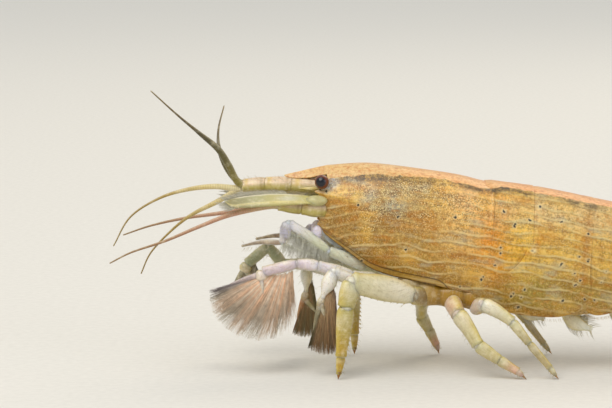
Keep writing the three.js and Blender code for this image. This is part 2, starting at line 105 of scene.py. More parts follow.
def fall(value, low, high):
    """1 before low, 0 after high, and a smooth step between."""
    return 1 - rise(value, low, high)


def window(value, opening, opened, closing, closed):
    """0 before opening, 1 from opened to closing, and 0 again after closed."""
    return rise(value, opening, opened) * fall(value, closing, closed)


def hump(value, centre, width):
    return math.exp(-(((value - centre) / width) ** 2))


def profile(pairs):
    """A value that runs smoothly through [place, value] pairs and stays level beyond them."""
    last = len(pairs) - 1

    def slope(i):
        a, b = pairs[max(i - 1, 0)], pairs[min(i + 1, last)]
        return (b[1] - a[1]) / (b[0] - a[0])

    def value(at):
        if at <= pairs[0][0]:
            return pairs[0][1]
        if at >= pairs[last][0]:
            return pairs[last][1]
        i = next(k for k in range(last + 1) if pairs[k][0] > at) - 1
        span = pairs[i + 1][0] - pairs[i][0]
        climb = pairs[i + 1][1] - pairs[i][1]
        t = (at - pairs[i][0]) / span
        early = slope(i) * span - climb
        late = climb - slope(i + 1) * span
        return pairs[i][1] + t * climb + t * (1 - t) * ((1 - t) * early + t * late)

    return value


class Line:
    """A smooth line through points, in millimetres, walked by distance."""

    def __init__(self, points, steps=60):
        p = np.array(points, float)
        p = np.vstack([2 * p[0] - p[1], p, 2 * p[-1] - p[-2]])
        found = [p[1]]
        for i in range(1, len(p) - 2):
            gaps = [np.linalg.norm(p[i + k] - p[i + k - 1]) ** 0.5 for k in range(3)]
            a, b, c = gaps
            early = ((p[i] - p[i - 1]) / a - (p[i + 1] - p[i - 1]) / (a + b) + (p[i + 1] - p[i]) / b) * b
            late = ((p[i + 1] - p[i]) / b - (p[i + 2] - p[i]) / (b + c) + (p[i + 2] - p[i + 1]) / c) * b
            for t in np.linspace(0, 1, steps + 1)[1:]:
                found.append(
                    p[i] * (2 * t**3 - 3 * t**2 + 1)
                    + p[i + 1] * (3 * t**2 - 2 * t**3)
                    + early * (t**3 - 2 * t**2 + t)
                    + late * (t**3 - t**2)
                )
        self.points = np.array(found)
        steps_long = np.linalg.norm(np.diff(self.points, axis=0), axis=1)
        self.walked = np.concatenate([[0], np.cumsum(steps_long)])
        self.length = float(self.walked[-1])

    def at(self, distance):
        return np.array([np.interp(distance, self.walked, self.points[:, k]) for k in range(3)])

    def heading(self, distance):
        reach = self.length * 0.01
        ahead = self.at(min(distance + reach, self.length)) - self.at(max(distance - reach, 0))
        return ahead / np.linalg.norm(ahead)


# %% [markdown]
# Colours are written as sRGB hex values, as a paint chart gives them, and one function turns them to the
# linear light that Blender works in. Each form carries a pigment: a colour for every vertex, mixed by
# smooth functions of its place on the animal. The materials then draw the fine marks over it. This keeps
# broad colour with the form and detail in the material, where it is sharp at any distance.


# %% Colours
def paint(hex_value):
    """An sRGB hex colour as linear light."""
    parts = [int(hex_value[i : i + 2], 16) / 255 for i in (0, 2, 4)]
    return np.array([c / 12.92 if c <= 0.04045 else ((c + 0.055) / 1.055) ** 2.4 for c in parts])


def mixed(colour, other, share):
    return colour + (other - colour) * clamp(share)


def washed(colour, *washes):
    """Lays washes over a colour, each a tone and its share."""
    for tone, share in washes:
        colour = mixed(colour, paint(tone) if isinstance(tone, str) else tone, share)
    return colour


PEACH = paint("dcab7a")
PALE_PINK = paint("d4b282")
GOLD = paint("e0b263")
OCHRE = paint("c29a50")
RUST = paint("cf8330")
RED_BROWN = paint("9c5e34")
UMBER = paint("3b2c1d")
CREAM = paint("e2d6b2")
IVORY = paint("ece6d4")
BLUE_WHITE = paint("d3d9de")
LILAC_WHITE = paint("d9d3df")
STRAW = paint("d2bf72")

# %% [markdown]
# One small function adds a shader node with its settings and its links, and another lays coats of colour
# one over the next. Reading a material is then reading a list of what is laid over what, from the bare
# pigment to the gloss. Some nodes name their inputs by number. A MapRange takes the value 0 from the span 1
# to 2 to the span 3 to 4, which is 0 to 1 where it is not set. A Mix lays colour 7 over colour 6 by share 0.


# %% Nodes
def add(tree, kind, inputs=None, out=0, **settings):
    """Adds a shader node, sets or links its inputs, and returns one of its outputs."""
    made = tree.nodes.new("ShaderNode" + kind)
    for key, value in settings.items():
        setattr(made, key, value)
    for key, value in (inputs or {}).items():
        if isinstance(value, bpy.types.NodeSocket):
            tree.links.new(value, made.inputs[key])
        elif isinstance(value, np.ndarray):
            made.inputs[key].default_value = (*value, 1.0)
        else:
            made.inputs[key].default_value = value
    return made.outputs[out]


def new_material(name):
    """A material, its empty tree, and the place on the model in mm, by which patterns are laid."""
    material = bpy.data.materials.new(name)
    material.use_nodes = True
    tree = material.node_tree
    tree.nodes.clear()
    place = add(tree, "TexCoord", out="Object")
    return material, tree, add(tree, "VectorMath", {0: place, "Scale": 1000.0}, operation="SCALE")


def lay(tree, colour, *coats):
    """Lays coats over a colour. Each has a tone, its full strength, a pattern, the pattern's values where the
    coat starts and where it is full, and any other patterns that hold it back."""
    for tone, strength, pattern, start, full, *held_back in coats:
        share = add(tree, "MapRange", {0: pattern, 1: start, 2: full, 4: strength})
        for by in held_back:
            share = add(tree, "Math", {0: share, 1: by}, operation="MULTIPLY")
        other = paint(tone) if isinstance(tone, str) else tone
        colour = add(tree, "Mix", {0: share, 6: colour, 7: other}, out=2, data_type="RGBA")
    return colour


def close_material(material, inputs):
    """Gives a material its surface and returns it."""
    tree = material.node_tree
    output = tree.nodes.new("ShaderNodeOutputMaterial")
    tree.links.new(add(tree, "BsdfPrincipled", inputs), output.inputs["Surface"])
    return material


# %% [markdown]
# The shell is chitin: thin, hard, a little see-through, and satin with a wet gloss. Its marks are wavy
# lines along the body, fine speckle from pigment cells under the surface, one pale band down the back with
# a broken dark border, and scattered black cells. The lines follow two numbers that each vertex carries,
# the distance along the body and the distance round it from the back, so they bend with the shell. Speckle
# is drawn at about 0.3 mm, coarser than the real cells, or it would not show.

# %% Shell material
# Single black cells, listed for each plate: how far back along it, and how far down its flank.
PLATE_SPANS = {
    "carapace": (-22.0, 5.3), "first": (5.3, 11.0), "second": (11.0, 19.1), "third": (19.1, 25.0),
    "fourth": (25.0, 30.5), "fifth": (30.5, 35.5),
}
CELL_SHARES = {
    "carapace": ((0.08, 0.2), (0.11, 0.2), (0.28, 0.28), (0.3, 0.95), (0.49, 0.34), (0.53, 0.68),
                 (0.79, 0.28), (0.82, 0.97), (0.93, 0.88), (0.94, 0.85)),
    "first": ((0.25, 0.16), (0.5, 0.27), (0.53, 0.25), (0.9, 0.2), (0.15, 0.46), (0.15, 0.51), (0.97, 0.44),
              (0.03, 0.66), (0.77, 0.78), (0.7, 0.85), (0.48, 0.83), (0.43, 0.86), (0.6, 0.95), (0.64, 0.94)),
    "second": ((0.12, 0.08), (0.5, 0.18), (0.97, 0.25), (0.81, 0.46), (0.98, 0.48), (0.96, 0.49),
               (0.48, 0.54), (0.5, 0.53), (0.72, 0.61), (0.83, 0.67), (0.74, 0.71), (0.92, 0.84),
               (0.52, 0.85)),
    "third": ((0.15, 0.86), (0.3, 0.68), (0.4, 0.58), (0.75, 0.4)),
    "fourth": ((0.3, 0.5), (0.7, 0.7)),
    "fifth": ((0.2, 0.35), (0.8, 0.6)),
}
CELL_RADIUS = 0.19
LINE_GAP = 1.5
flank_top = profile([[-22, 28.4], [5, 26.7], [11, 25.8], [19, 24.5], [36, 18.5]])
flank_foot = profile(
    [[-22, 22], [-14.5, 16.1], [-8.5, 14.1], [1, 12.2], [5, 11.7], [6, 9.3], [19, 8.4], [36, 12.5]]
)
black_cells = []
for plate, shares in CELL_SHARES.items():
    for back, down in shares:
        x = lerp(*PLATE_SPANS[plate], back)
        black_cells.append((x, lerp(flank_top(x), flank_foot(x), down)))


def shell_material():
    material, tree, in_mm = new_material("satin_chitin_shell")
    pigment, band_pigment = (add(tree, "Attribute", attribute_name=n) for n in ("pigment", "band_pigment"))
    along, lie, band, calm, hem, bold = (
        add(tree, "Attribute", out="Fac", attribute_name=name)
        for name in ("along", "lie", "band", "calm", "hem", "bold")
    )
    slow = add(tree, "Math", {0: along, 1: 0.11}, operation="MULTIPLY")
    flow = add(tree, "CombineXYZ", {"X": slow, "Y": lie})
    stretched = add(tree, "VectorMath", {0: flow, 1: (3.6, 1.0, 1.0)}, operation="MULTIPLY")
    streak, fine, wash, waver, broad, mottle, grains, ragged, gaps, speck = (
        add(tree, "TexNoise", {"Vector": by, "Scale": scale, "Detail": detail, "Roughness": roughness})
        for by, scale, detail, roughness in (
            (flow, 1.1, 5.0, 0.62), (flow, 4.6, 3.0, 0.6), (stretched, 0.42, 3.0, 0.6),
            (in_mm, 0.2, 2.0, 0.45), (in_mm, 0.22, 3.0, 0.55), (in_mm, 1.1, 4.0, 0.65),
            (in_mm, 2.4, 3.0, 0.7), (in_mm, 0.75, 5.0, 0.65), (in_mm, 0.45, 3.0, 0.6), (in_mm, 2.6, 2.0, 0.6),
        )
    )
    cells, pale_cells, pits = (
        add(tree, "TexVoronoi", {"Vector": in_mm, "Scale": scale}) for scale in (3.9, 4.9, 3.4)
    )

    # Streaks, rust and grains, then washes longer than they are high: ash blue, rust and gold.
    colour = lay(
        tree, pigment,
        ("7d5a24", 0.5, streak, 0.5, 0.68), ("ecce92", 0.3, streak, 0.48, 0.3),
        ("c07a2e", 0.55, mottle, 0.52, 0.64), ("8a5f2c", 0.35, fine, 0.54, 0.74),
        ("7a5526", 0.5, grains, 0.5, 0.66), ("eecb86", 0.4, grains, 0.48, 0.34),
        ("a3a18c", 0.5, wash, 0.55, 0.66), ("b06f2e", 0.5, wash, 0.45, 0.34),
        ("eab860", 0.45, broad, 0.5, 0.66),
    )

    # Pigment cells: dense where the shell is not calm, sparse elsewhere, and lying in rows.
    amount = add(tree, "Math", {0: 1.35, 1: calm}, operation="SUBTRACT")
    patch = add(tree, "MapRange", {0: broad, 1: 0.36, 2: 0.56, 3: 0.3})
    rows = add(tree, "MapRange", {0: streak, 1: 0.4, 2: 0.56, 3: 0.35})
    for held_back in (patch, rows):
        amount = add(tree, "Math", {0: amount, 1: held_back}, operation="MULTIPLY", use_clamp=True)
    colour = lay(
        tree, colour,
        ("77603f", 0.7, mottle, 0.4, 0.6, amount), ("ecd9a8", 0.85, pale_cells, 0.45, 0.22, amount),
        ("54401f", 0.95, cells, 0.42, 0.2, amount),
    )

    # Pale lines that wander as they run back, each with a darker shadow below it.
    wander = add(tree, "Math", {0: waver, 1: 2.1, 2: lie}, operation="MULTIPLY_ADD")
    wander = add(tree, "Math", {0: mottle, 1: 0.22, 2: wander}, operation="MULTIPLY_ADD")
    turns = add(tree, "Math", {0: wander, 1: math.tau / LINE_GAP}, operation="MULTIPLY")
    wave = add(tree, "Math", {0: turns}, operation="SINE")
    below = add(tree, "Math", {0: turns, 1: 0.95}, operation="SUBTRACT")
    shadow_wave = add(tree, "Math", {0: below}, operation="SINE")
    broken = add(tree, "MapRange", {0: wash, 1: 0.4, 2: 0.54, 3: 0.2})
    present = add(tree, "Math", {0: broken, 1: calm}, operation="MULTIPLY")
    colour = lay(
        tree, colour,
        ("7a5526", 0.4, shadow_wave, 0.3, 1.0, present), ("d9c594", 0.6, wave, 0.66, 1.0, present),
    )

    # The hem: a dark line at the edge and one at the furrow, with a pale strip between them.
    hem = add(tree, "Math", {0: mottle, 1: 0.35, 2: hem}, operation="MULTIPLY_ADD")
    for low, high, strength, tone in (
        (0.0, 1.3, 0.6, "a8884c"), (0.2, 0.5, 0.8, "4a3618"), (0.95, 1.25, 0.75, "4a3618"),
    ):
        middle, half = (low + high) / 2, (high - low) / 2
        off = add(tree, "Math", {0: hem, 1: middle}, operation="SUBTRACT")
        off = add(tree, "Math", {0: off}, operation="ABSOLUTE")
        colour = lay(tree, colour, (tone, strength, off, half, half * 0.4))

    # The band down the back, with a ragged edge and a broken dark border under it.
    nudge = add(tree, "Math", {0: ragged, 1: 0.5}, operation="SUBTRACT")
    edge = add(tree, "Math", {0: nudge, 1: 1.7, 2: band}, operation="MULTIPLY_ADD")
    freckled = add(tree, "MapRange", {0: grains, 1: 0.36, 2: 0.52, 3: 0.55})
    shown = add(tree, "MapRange", {0: gaps, 1: 0.4, 2: 0.56, 3: 0.3})
    band_colour = lay(
        tree, band_pigment,
        ("bd7c50", 0.7, grains, 0.46, 0.62), ("a9693e", 0.55, mottle, 0.54, 0.68),
        ("efcd9e", 0.5, fine, 0.5, 0.3), ("8f6a4c", 0.4, pale_cells, 0.3, 0.1),
    )
    colour = lay(
        tree, colour,
        ("4a3c28", 1.0, edge, 1.9, 0.75, freckled, shown, bold), (band_colour, 1.0, edge, 0.08, -0.08),
    )
    colour = add(tree, "HueSaturation", {"Saturation": 1.1, "Value": 1.16, "Color": colour})

    # Single black cells, alike on the two sides of the animal.
    side_view = add(tree, "VectorMath", {0: in_mm, 1: (1.0, 0.0, 1.0)}, operation="MULTIPLY")
    nearest = None
    for x, z in black_cells:
        away = add(tree, "VectorMath", {0: side_view, 1: (x, 0.0, z)}, out="Value", operation="DISTANCE")
        nearest = away if nearest is None else add(tree, "Math", {0: nearest, 1: away}, operation="MINIMUM")
    speck = add(tree, "Math", {0: speck, 1: 0.5}, operation="SUBTRACT")
    uneven = add(tree, "Math", {0: speck, 1: 0.75, 2: nearest}, operation="MULTIPLY_ADD")
    halo = ("dcc79a", 0.45, uneven, 0.42, 0.26)
    black = ("1a140d", 0.93, uneven, CELL_RADIUS, CELL_RADIUS - 0.07)
    colour = lay(tree, colour, halo, black)

    relief = add(tree, "Math", {0: pits, 1: 0.35, 2: streak}, operation="MULTIPLY_ADD")
    normal = add(tree, "Bump", {"Strength": 0.25, "Distance": 0.00012, "Height": relief})
    rough = add(tree, "MapRange", {0: streak, 1: 0.2, 2: 0.8, 3: 0.36, 4: 0.52})
    return close_material(
        material,
        {
            "Base Color": colour, "Roughness": rough, "IOR": 1.5, "Normal": normal,
            "Subsurface Weight": 0.25, "Subsurface Radius": (1.0, 0.55, 0.25), "Subsurface Scale": 0.0012,
            "Coat Weight": 0.15, "Coat Roughness": 0.25,
        },
    )


SHELL = shell_material()
print("materials:", SHELL.name)

# %% [markdown]
# The limbs are thinner chitin over clear flesh: more light goes through them, and the marks are streaks and
# fine grains along each segment. Fins are the same stuff pressed flat. Bristles are stiff chitin hairs, and
# the eye is a smooth cornea over a black core, so it has a hard gloss of its own.


# %% Limb, bristle, flesh and eye materials
def marked_material(name, marks, grain, roughness, glow, coat, rings=0.1):
    """A pigment with streaks along and across the piece and grains on it."""
    material, tree, in_mm = new_material(name)
    pigment = add(tree, "Attribute", attribute_name="pigment")
    along, lie = (add(tree, "Attribute", out="Fac", attribute_name=n) for n in ("along", "lie"))
    slow = add(tree, "Math", {0: along, 1: 0.22}, operation="MULTIPLY")
    flow = add(tree, "CombineXYZ", {"X": slow, "Y": lie})
    turned = add(tree, "VectorMath", {0: flow, 1: (11.0, 0.35, 1.0)}, operation="MULTIPLY")
    streak, cloud, cross = (
        add(tree, "TexNoise", {"Vector": by, "Scale": scale, "Detail": detail, "Roughness": 0.6})
        for by, scale, detail in ((flow, 3.2, 4.0), (in_mm, 0.9, 3.0), (turned, 1.6, 3.0))
    )
    cells = add(tree, "TexVoronoi", {"Vector": in_mm, "Scale": grain})
    patch = add(tree, "MapRange", {0: cloud, 1: 0.42, 2: 0.56, 3: 1.0, 4: 0.2})
    colour = lay(
        tree, pigment, ("83703c", marks, streak, 0.52, 0.72), ("f1ead2", marks, cloud, 0.52, 0.75),
        ("9a8c66", rings, cross, 0.5, 0.66), ("f4f0e4", rings, cross, 0.48, 0.34),
        ("6a5a3a", 0.7 * marks, cells, 0.26, 0.1, patch),
    )
    colour = add(tree, "HueSaturation", {"Saturation": 1.15, "Color": colour})
    relief = add(tree, "Math", {0: cells, 1: 0.5, 2: streak}, operation="MULTIPLY_ADD")
    normal = add(tree, "Bump", {"Strength": 0.3, "Distance": 0.00008, "Height": relief})
    return close_material(
        material,
        {
            "Base Color": colour, "Roughness": roughness, "IOR": 1.48, "Normal": normal,
            "Subsurface Weight": glow, "Subsurface Radius": (1.0, 0.8, 0.55), "Subsurface Scale": 0.0014,
            "Coat Weight": coat, "Coat Roughness": 0.15,
        },
    )


def eye_material():
    """A glossy cornea. Its facets, about 0.05 mm in life, are drawn at 0.12 mm, or they would not show."""
    material, tree, in_mm = new_material("glossy_cornea")
    pigment = add(tree, "Attribute", attribute_name="pigment")
    facets = add(tree, "TexVoronoi", {"Vector": in_mm, "Scale": 8.0, "Randomness": 0.25})
    colour = lay(tree, pigment, ("0a0807", 0.2, facets, 0.2, 0.6))
    normal = add(tree, "Bump", {"Strength": 0.12, "Distance": 0.00003, "Height": facets})
    return close_material(
        material,
        {
            "Base Color": colour, "Roughness": 0.24, "IOR": 1.36, "Normal": normal,
            "Coat Weight": 0.6, "Coat Roughness": 0.04, "Coat IOR": 1.4,
        },
    )


def bristle_material():
    """Stiff chitin hairs, each with its own shade of pigment."""
    material, tree, in_mm = new_material("chitin_bristle")
    pigment = add(tree, "Attribute", attribute_name="pigment")
    cloud = add(tree, "TexNoise", {"Vector": in_mm, "Scale": 1.4, "Detail": 3.0, "Roughness": 0.6})
    colour = lay(tree, pigment, ("6b5a48", 0.25, cloud, 0.35, 0.7))
    return close_material(material, {"Base Color": colour, "Roughness": 0.42, "IOR": 1.5})


LIMB = marked_material("clear_chitin_limb", marks=0.45, grain=3.2, roughness=0.34, glow=0.45, coat=0.35)
FIN = marked_material(
    "thin_chitin_fin", marks=0.4, grain=2.6, roughness=0.38, glow=0.35, coat=0.25, rings=0.05
)
FEELER = marked_material(
    "ringed_chitin_feeler", marks=0.3, grain=4.0, roughness=0.4, glow=0.15, coat=0.2, rings=0.03
)
FLESH = marked_material("soft_membrane", marks=0.35, grain=2.2, roughness=0.42, glow=0.5, coat=0.3)
EYE = eye_material()
BRISTLE = bristle_material()
print("materials:", len(bpy.data.materials))

# %% [markdown]
# Most surfaces start as a flat grid with a UV map, like a sheet of film, which a function then lays out in
# space. Edges that meet are welded, so a rolled sheet becomes a closed tube and a pinched end becomes a
# pole. The grid keeps clean rows along the piece, which thickening and subdivision like, and its UV map is
# the piece's own unwrap. Only soft balls, spines and corneas start from a ball or a cone.


# %% Forms
WELD = 1e-4
# What a vertex carries besides its pigments, and what each value is where nothing sets it.
VALUES = {"along": 0.0, "lie": 0.0, "band": 9.0, "calm": 1.0, "hem": 9.0, "bold": 0.5}


def new_form():
    """An empty bmesh with the UV map and the values that the materials read."""
    form = bmesh.new()
    form.loops.layers.uv.new("flow")
    for name in ("pigment", "band_pigment"):
        form.verts.layers.float_color.new(name)
    for name in VALUES:
        form.verts.layers.float.new(name)
    return form


def mark(form, vert, colour, band_colour=PEACH, **values):
    """Writes a vertex's pigments and its place on the animal."""
    colours, layers = form.verts.layers.float_color, form.verts.layers.float
    vert[colours["pigment"]] = (*colour, 1.0)
    vert[colours["band_pigment"]] = (*band_colour, 1.0)
    for name, value in (VALUES | values).items():
        vert[layers[name]] = value


def add_sheet(form, rows, columns, place):
    """Adds a grid that place(u, v) lays out. place gives a point and the marks of that vertex."""
    grid = bmesh.ops.create_grid(form, x_segments=rows, y_segments=columns, size=0.5, calc_uvs=True)
    verts = grid["verts"]
    for vert in verts:
        point, marks = place(vert.co.x + 0.5, vert.co.y + 0.5)
        vert.co = point
        mark(form, vert, **marks)
    faces = list({face for vert in verts for face in vert.link_faces})
    bmesh.ops.remove_doubles(form, verts=verts, dist=WELD)
    faces = [face for face in faces if face.is_valid]
    bmesh.ops.recalc_face_normals(form, faces=faces)
    return faces


def face_up(form):
    """Turns an open plate so that its top faces up."""
    top = max(form.faces, key=lambda face: face.calc_center_median().z)
    top.normal_update()
    if top.normal.z < 0:
        bmesh.ops.reverse_faces(form, faces=form.faces)


def show(form, name, slot, material, *stands_for, wall=0.0, rounds=0):
    """Makes a form an object in metres, finishes it, and ties it to the frame."""
    bmesh.ops.scale(form, vec=(MM, MM, MM), verts=form.verts)
    mesh = bpy.data.meshes.new(name)
    form.to_mesh(mesh)
    form.free()
    mesh.materials.append(material)
    mesh.shade_smooth()
    piece = link(name, mesh)
    if wall:
        solid = piece.modifiers.new("wall", "SOLIDIFY")
        solid.thickness = wall * MM
        solid.offset = -1
    if rounds:
        rounding = piece.modifiers.new("rounding", "SUBSURF")
        rounding.levels = rounding.render_levels = rounds
    tie(piece, slot, *stands_for)


def tie(piece, slot, *stands_for):
    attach(piece, "root")
    if stands_for:
        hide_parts(*stands_for)
    print(f"{piece.name}: {len(piece.data.polygons)} faces")


# %% [markdown]
# Bristles are far too many to shape one by one, so they are made together as arrays: each is a bent,
# tapering rod from a root past a bend to a tip, closed at both ends. Their UV map holds each rod in a tiny
# patch at the place of its root, so a baked texture gives the whole rod the colour of its own spot.


# %% Bristles
SIDES_OF_A_ROD = 3
THINNING = 0.8
UV_PATCH = 0.003


def bristles(name, slot, roots, bends, tips, thick, colours, *stands_for, places=None, rings=4, seed=1):
    """Many bent rods as one mesh. colours run from root to tip, each one colour or one for every rod."""
    sides = SIDES_OF_A_ROD
    roots, bends, tips = (np.asarray(a, float) for a in (roots, bends, tips))
    count = len(roots)
    chance = np.random.default_rng(seed)
    share = np.linspace(0, 1, rings + 1)[None, :, None]
    line = roots[:, None] * (1 - share) ** 2 + bends[:, None] * 2 * share * (1 - share)
    line = line + tips[:, None] * share**2
    ahead = np.gradient(line, axis=1)
    ahead /= np.linalg.norm(ahead, axis=2, keepdims=True)
    guide = np.where(np.abs(ahead[..., 1:2]) < 0.8, [[[0.0, 1.0, 0.0]]], [[[1.0, 0.0, 0.0]]])
    across = np.cross(ahead, guide)
    across /= np.linalg.norm(across, axis=2, keepdims=True)
    upward = np.cross(across, ahead)
    angle = np.linspace(0, math.tau, sides, endpoint=False)
    radius = (np.asarray(thick, float).reshape(-1, 1, 1, 1) * (1 - THINNING * share[..., None] ** 1.5)) / 2
    ring = across[:, :, None] * np.cos(angle)[:, None] + upward[:, :, None] * np.sin(angle)[:, None]
    points = line[:, :, None] + ring * radius
    index = np.arange(count * (rings + 1) * sides).reshape(count, rings + 1, sides)
    beside = np.roll(index, -1, axis=2)
    walls = np.stack([index[:, :-1], beside[:, :-1], beside[:, 1:], index[:, 1:]], axis=-1).reshape(-1, 4)
    ends = np.concatenate([index[:, 0, ::-1], index[:, -1]])
    mesh = bpy.data.meshes.new(name)
    mesh.from_pydata((points * MM).reshape(-1, 3).tolist(), [], [*walls.tolist(), *ends.tolist()])
    stops = [np.broadcast_to(np.asarray(c, float).reshape(-1, 3), (count, 3)) for c in colours]
    stops = np.stack(stops, axis=1)
    tint = chance.uniform(0.8, 1.15, (count, 1, 1))
    at = np.linspace(0, len(colours) - 1, rings + 1)
    lower = np.minimum(at.astype(int), len(colours) - 2)
    blend = stops[:, lower] + (stops[:, lower + 1] - stops[:, lower]) * (at - lower)[None, :, None]
    rgba = np.ones((count, rings + 1, sides, 4))
    rgba[..., :3] = (blend * tint)[:, :, None]
    layer = mesh.color_attributes.new("pigment", "FLOAT_COLOR", "POINT")
    layer.data.foreach_set("color", rgba.astype(np.float32).ravel())
    if places is None:
        places = np.stack([np.linspace(0.05, 0.95, count), chance.uniform(0.05, 0.95, count)], axis=1)
    patch = np.zeros((count, rings + 1, sides, 2))
    patch[..., 0] = places[:, None, None, 0] + UV_PATCH * share[..., 0][:, :, None]
    patch[..., 1] = places[:, None, None, 1] + UV_PATCH * (np.arange(sides) / sides)[None, None]
    corner = np.zeros(len(mesh.loops), np.int32)
    mesh.loops.foreach_get("vertex_index", corner)
    unwrap = mesh.uv_layers.new(name="OFBake")
    unwrap.uv.foreach_set("vector", patch.reshape(-1, 2)[corner].astype(np.float32).ravel())
    mesh.materials.append(BRISTLE)
    mesh.shade_smooth()
    mesh.validate()
    tie(link(name, mesh), slot, *stands_for)


# %% [markdown]
# The trunk has one master form. A line runs along the top of the back. At each place on it a section hangs
# down, as wide and as deep as the animal is there, and a turn of 0 at the back to 1 at the lower edge walks
# round the flank. Shell plates, flesh and markings all ask this one form where they lie, so nothing can
# drift apart.

# %% The trunk's form
BACK = Line(
    [
        (-20.6, 0, 29.55), (-15.5, 0, 30.0), (-12.5, 0, 30.05), (-3.8, 0, 29.1), (5.6, 0, 27.6),
        (11.1, 0, 26.85), (19.9, 0, 25.1), (27.0, 0, 23.4), (32.3, 0, 20.9), (36.8, 0, 17.7), (42.0, 0, 13.4),
    ]
)
ORBIT_X = -18.4
CARAPACE_LENGTH = 24
SOMITE_LENGTHS = (5.6, 9.0, 7.2, 5.9, 5.7, 6.6)
FLANK_ANGLE = math.radians(135)
FLANK_SHARE = 0.78
BOXINESS = 0.75
UNDERSIDE = 0.88

half_width_at = profile(
    [[-18.4, 3.4], [-14, 4.9], [-9, 6.1], [-3, 6.6], [5, 6.5], [8, 6.3],
     [15, 6.6], [22, 6.1], [28, 5.2], [33, 4.2], [37, 3.4], [42, 2.9]]
)
carapace_depth_at = profile(
    [[-18.4, 9.5], [-16.4, 11.1], [-14.5, 12.5], [-12.3, 14.1], [-10.3, 15.0], [-6.4, 15.6], [5.6, 16.2]]
)
pleon_depth_at = profile(
    [[5, 18.3], [9, 18.8], [16.5, 18.0], [21, 16.9], [25, 15.6], [29, 13.4], [33, 10.4], [36.5, 7.8],
     [42, 6.2]]
)
lean_at = profile([[5, 0.2], [20, 0.5], [37, 1]])


def station_of(x):
    return float(np.interp(x, BACK.points[:, 0], BACK.walked))


def slope_at(s):
    ahead = BACK.heading(s)
    return math.atan2(-ahead[2], ahead[0])


ORBIT = station_of(ORBIT_X)
SOMITE_ENDS = [ORBIT + CARAPACE_LENGTH]
for somite_length in SOMITE_LENGTHS:
    SOMITE_ENDS.append(SOMITE_ENDS[-1] + somite_length)


def section_at(turn, underside):
    """Where a section passes: out from the middle plane, and down, as shares of its width and depth."""
    side = -1 if turn < 0 else 1
    around = abs(turn)
    if around <= 1:
        bend = around * FLANK_ANGLE
        return side * math.sin(bend) ** BOXINESS, (1 - math.cos(bend)) / (1 - math.cos(FLANK_ANGLE))
    inward = (around - 1) / (1 / FLANK_SHARE - 1)
    lift = (1 - underside) * math.sin(clamp(inward) * math.pi / 2)
    return side * math.sin(FLANK_ANGLE) ** BOXINESS * (1 - clamp(inward)), 1 - lift


def trunk_point(s, turn, depth, lean=0.0, shift=0.0, relief=0.0, underside=UNDERSIDE):
    """A point of the trunk, lifted off its surface by relief."""
    back = BACK.at(s)
    out, down = section_at(turn, underside)
    y = out * half_width_at(back[0])
    drop = down * depth
    away = Vector((y, drop - 0.45 * depth)).normalized()
    y += relief * away.x
    drop += relief * away.y
    return (back[0] - drop * math.sin(lean) + shift, y, back[2] - drop * math.cos(lean))


print("back line:", round(BACK.length, 1), "mm; carapace ends at", round(BACK.at(SOMITE_ENDS[0])[0], 2))

# %% [markdown]
# The markings run over all the plates, so one function gives the pigment anywhere on the trunk from how far
# back and how far round it is. Golden cheeks, a grey speckled shoulder, a rust saddle where the carapace
# ends, grey-tan upper rings and olive lower ones, and a brown hem: broad soft fields, laid over each other
# like washes.

# %% Trunk markings
band_edge_at = profile(
    [[-8, 1.3], [-3, 2.0], [0, 3.6], [8, 3.9], [16, 3.5], [21, 3.8], [23.5, 3.6], [25.5, 2.5],
     [31, 2.9], [40, 2.8], [52, 2.5], [64, 2.1]]
)
border_at = profile(
    [[-2, 0.4], [0, 0.3], [2.0, 0.55], [3.0, 0.9], [9, 1.0], [11, 0.5], [14, 0.55], [16, 0.85], [21, 0.85],
     [24, 1.0], [28.5, 1.0], [30.5, 0.45], [33, 0.35], [35.5, 0.85], [38.5, 0.85], [40, 0.45], [52, 0.6],
     [66, 0.5]]
)


def below_back(point):
    """How far round the flank a point is from the back line, in mm, the same on every plate."""
    level = np.interp(point[0], BACK.points[:, 0], BACK.points[:, 2])
    return float(level) - point[2] + 0.3 * abs(point[1])


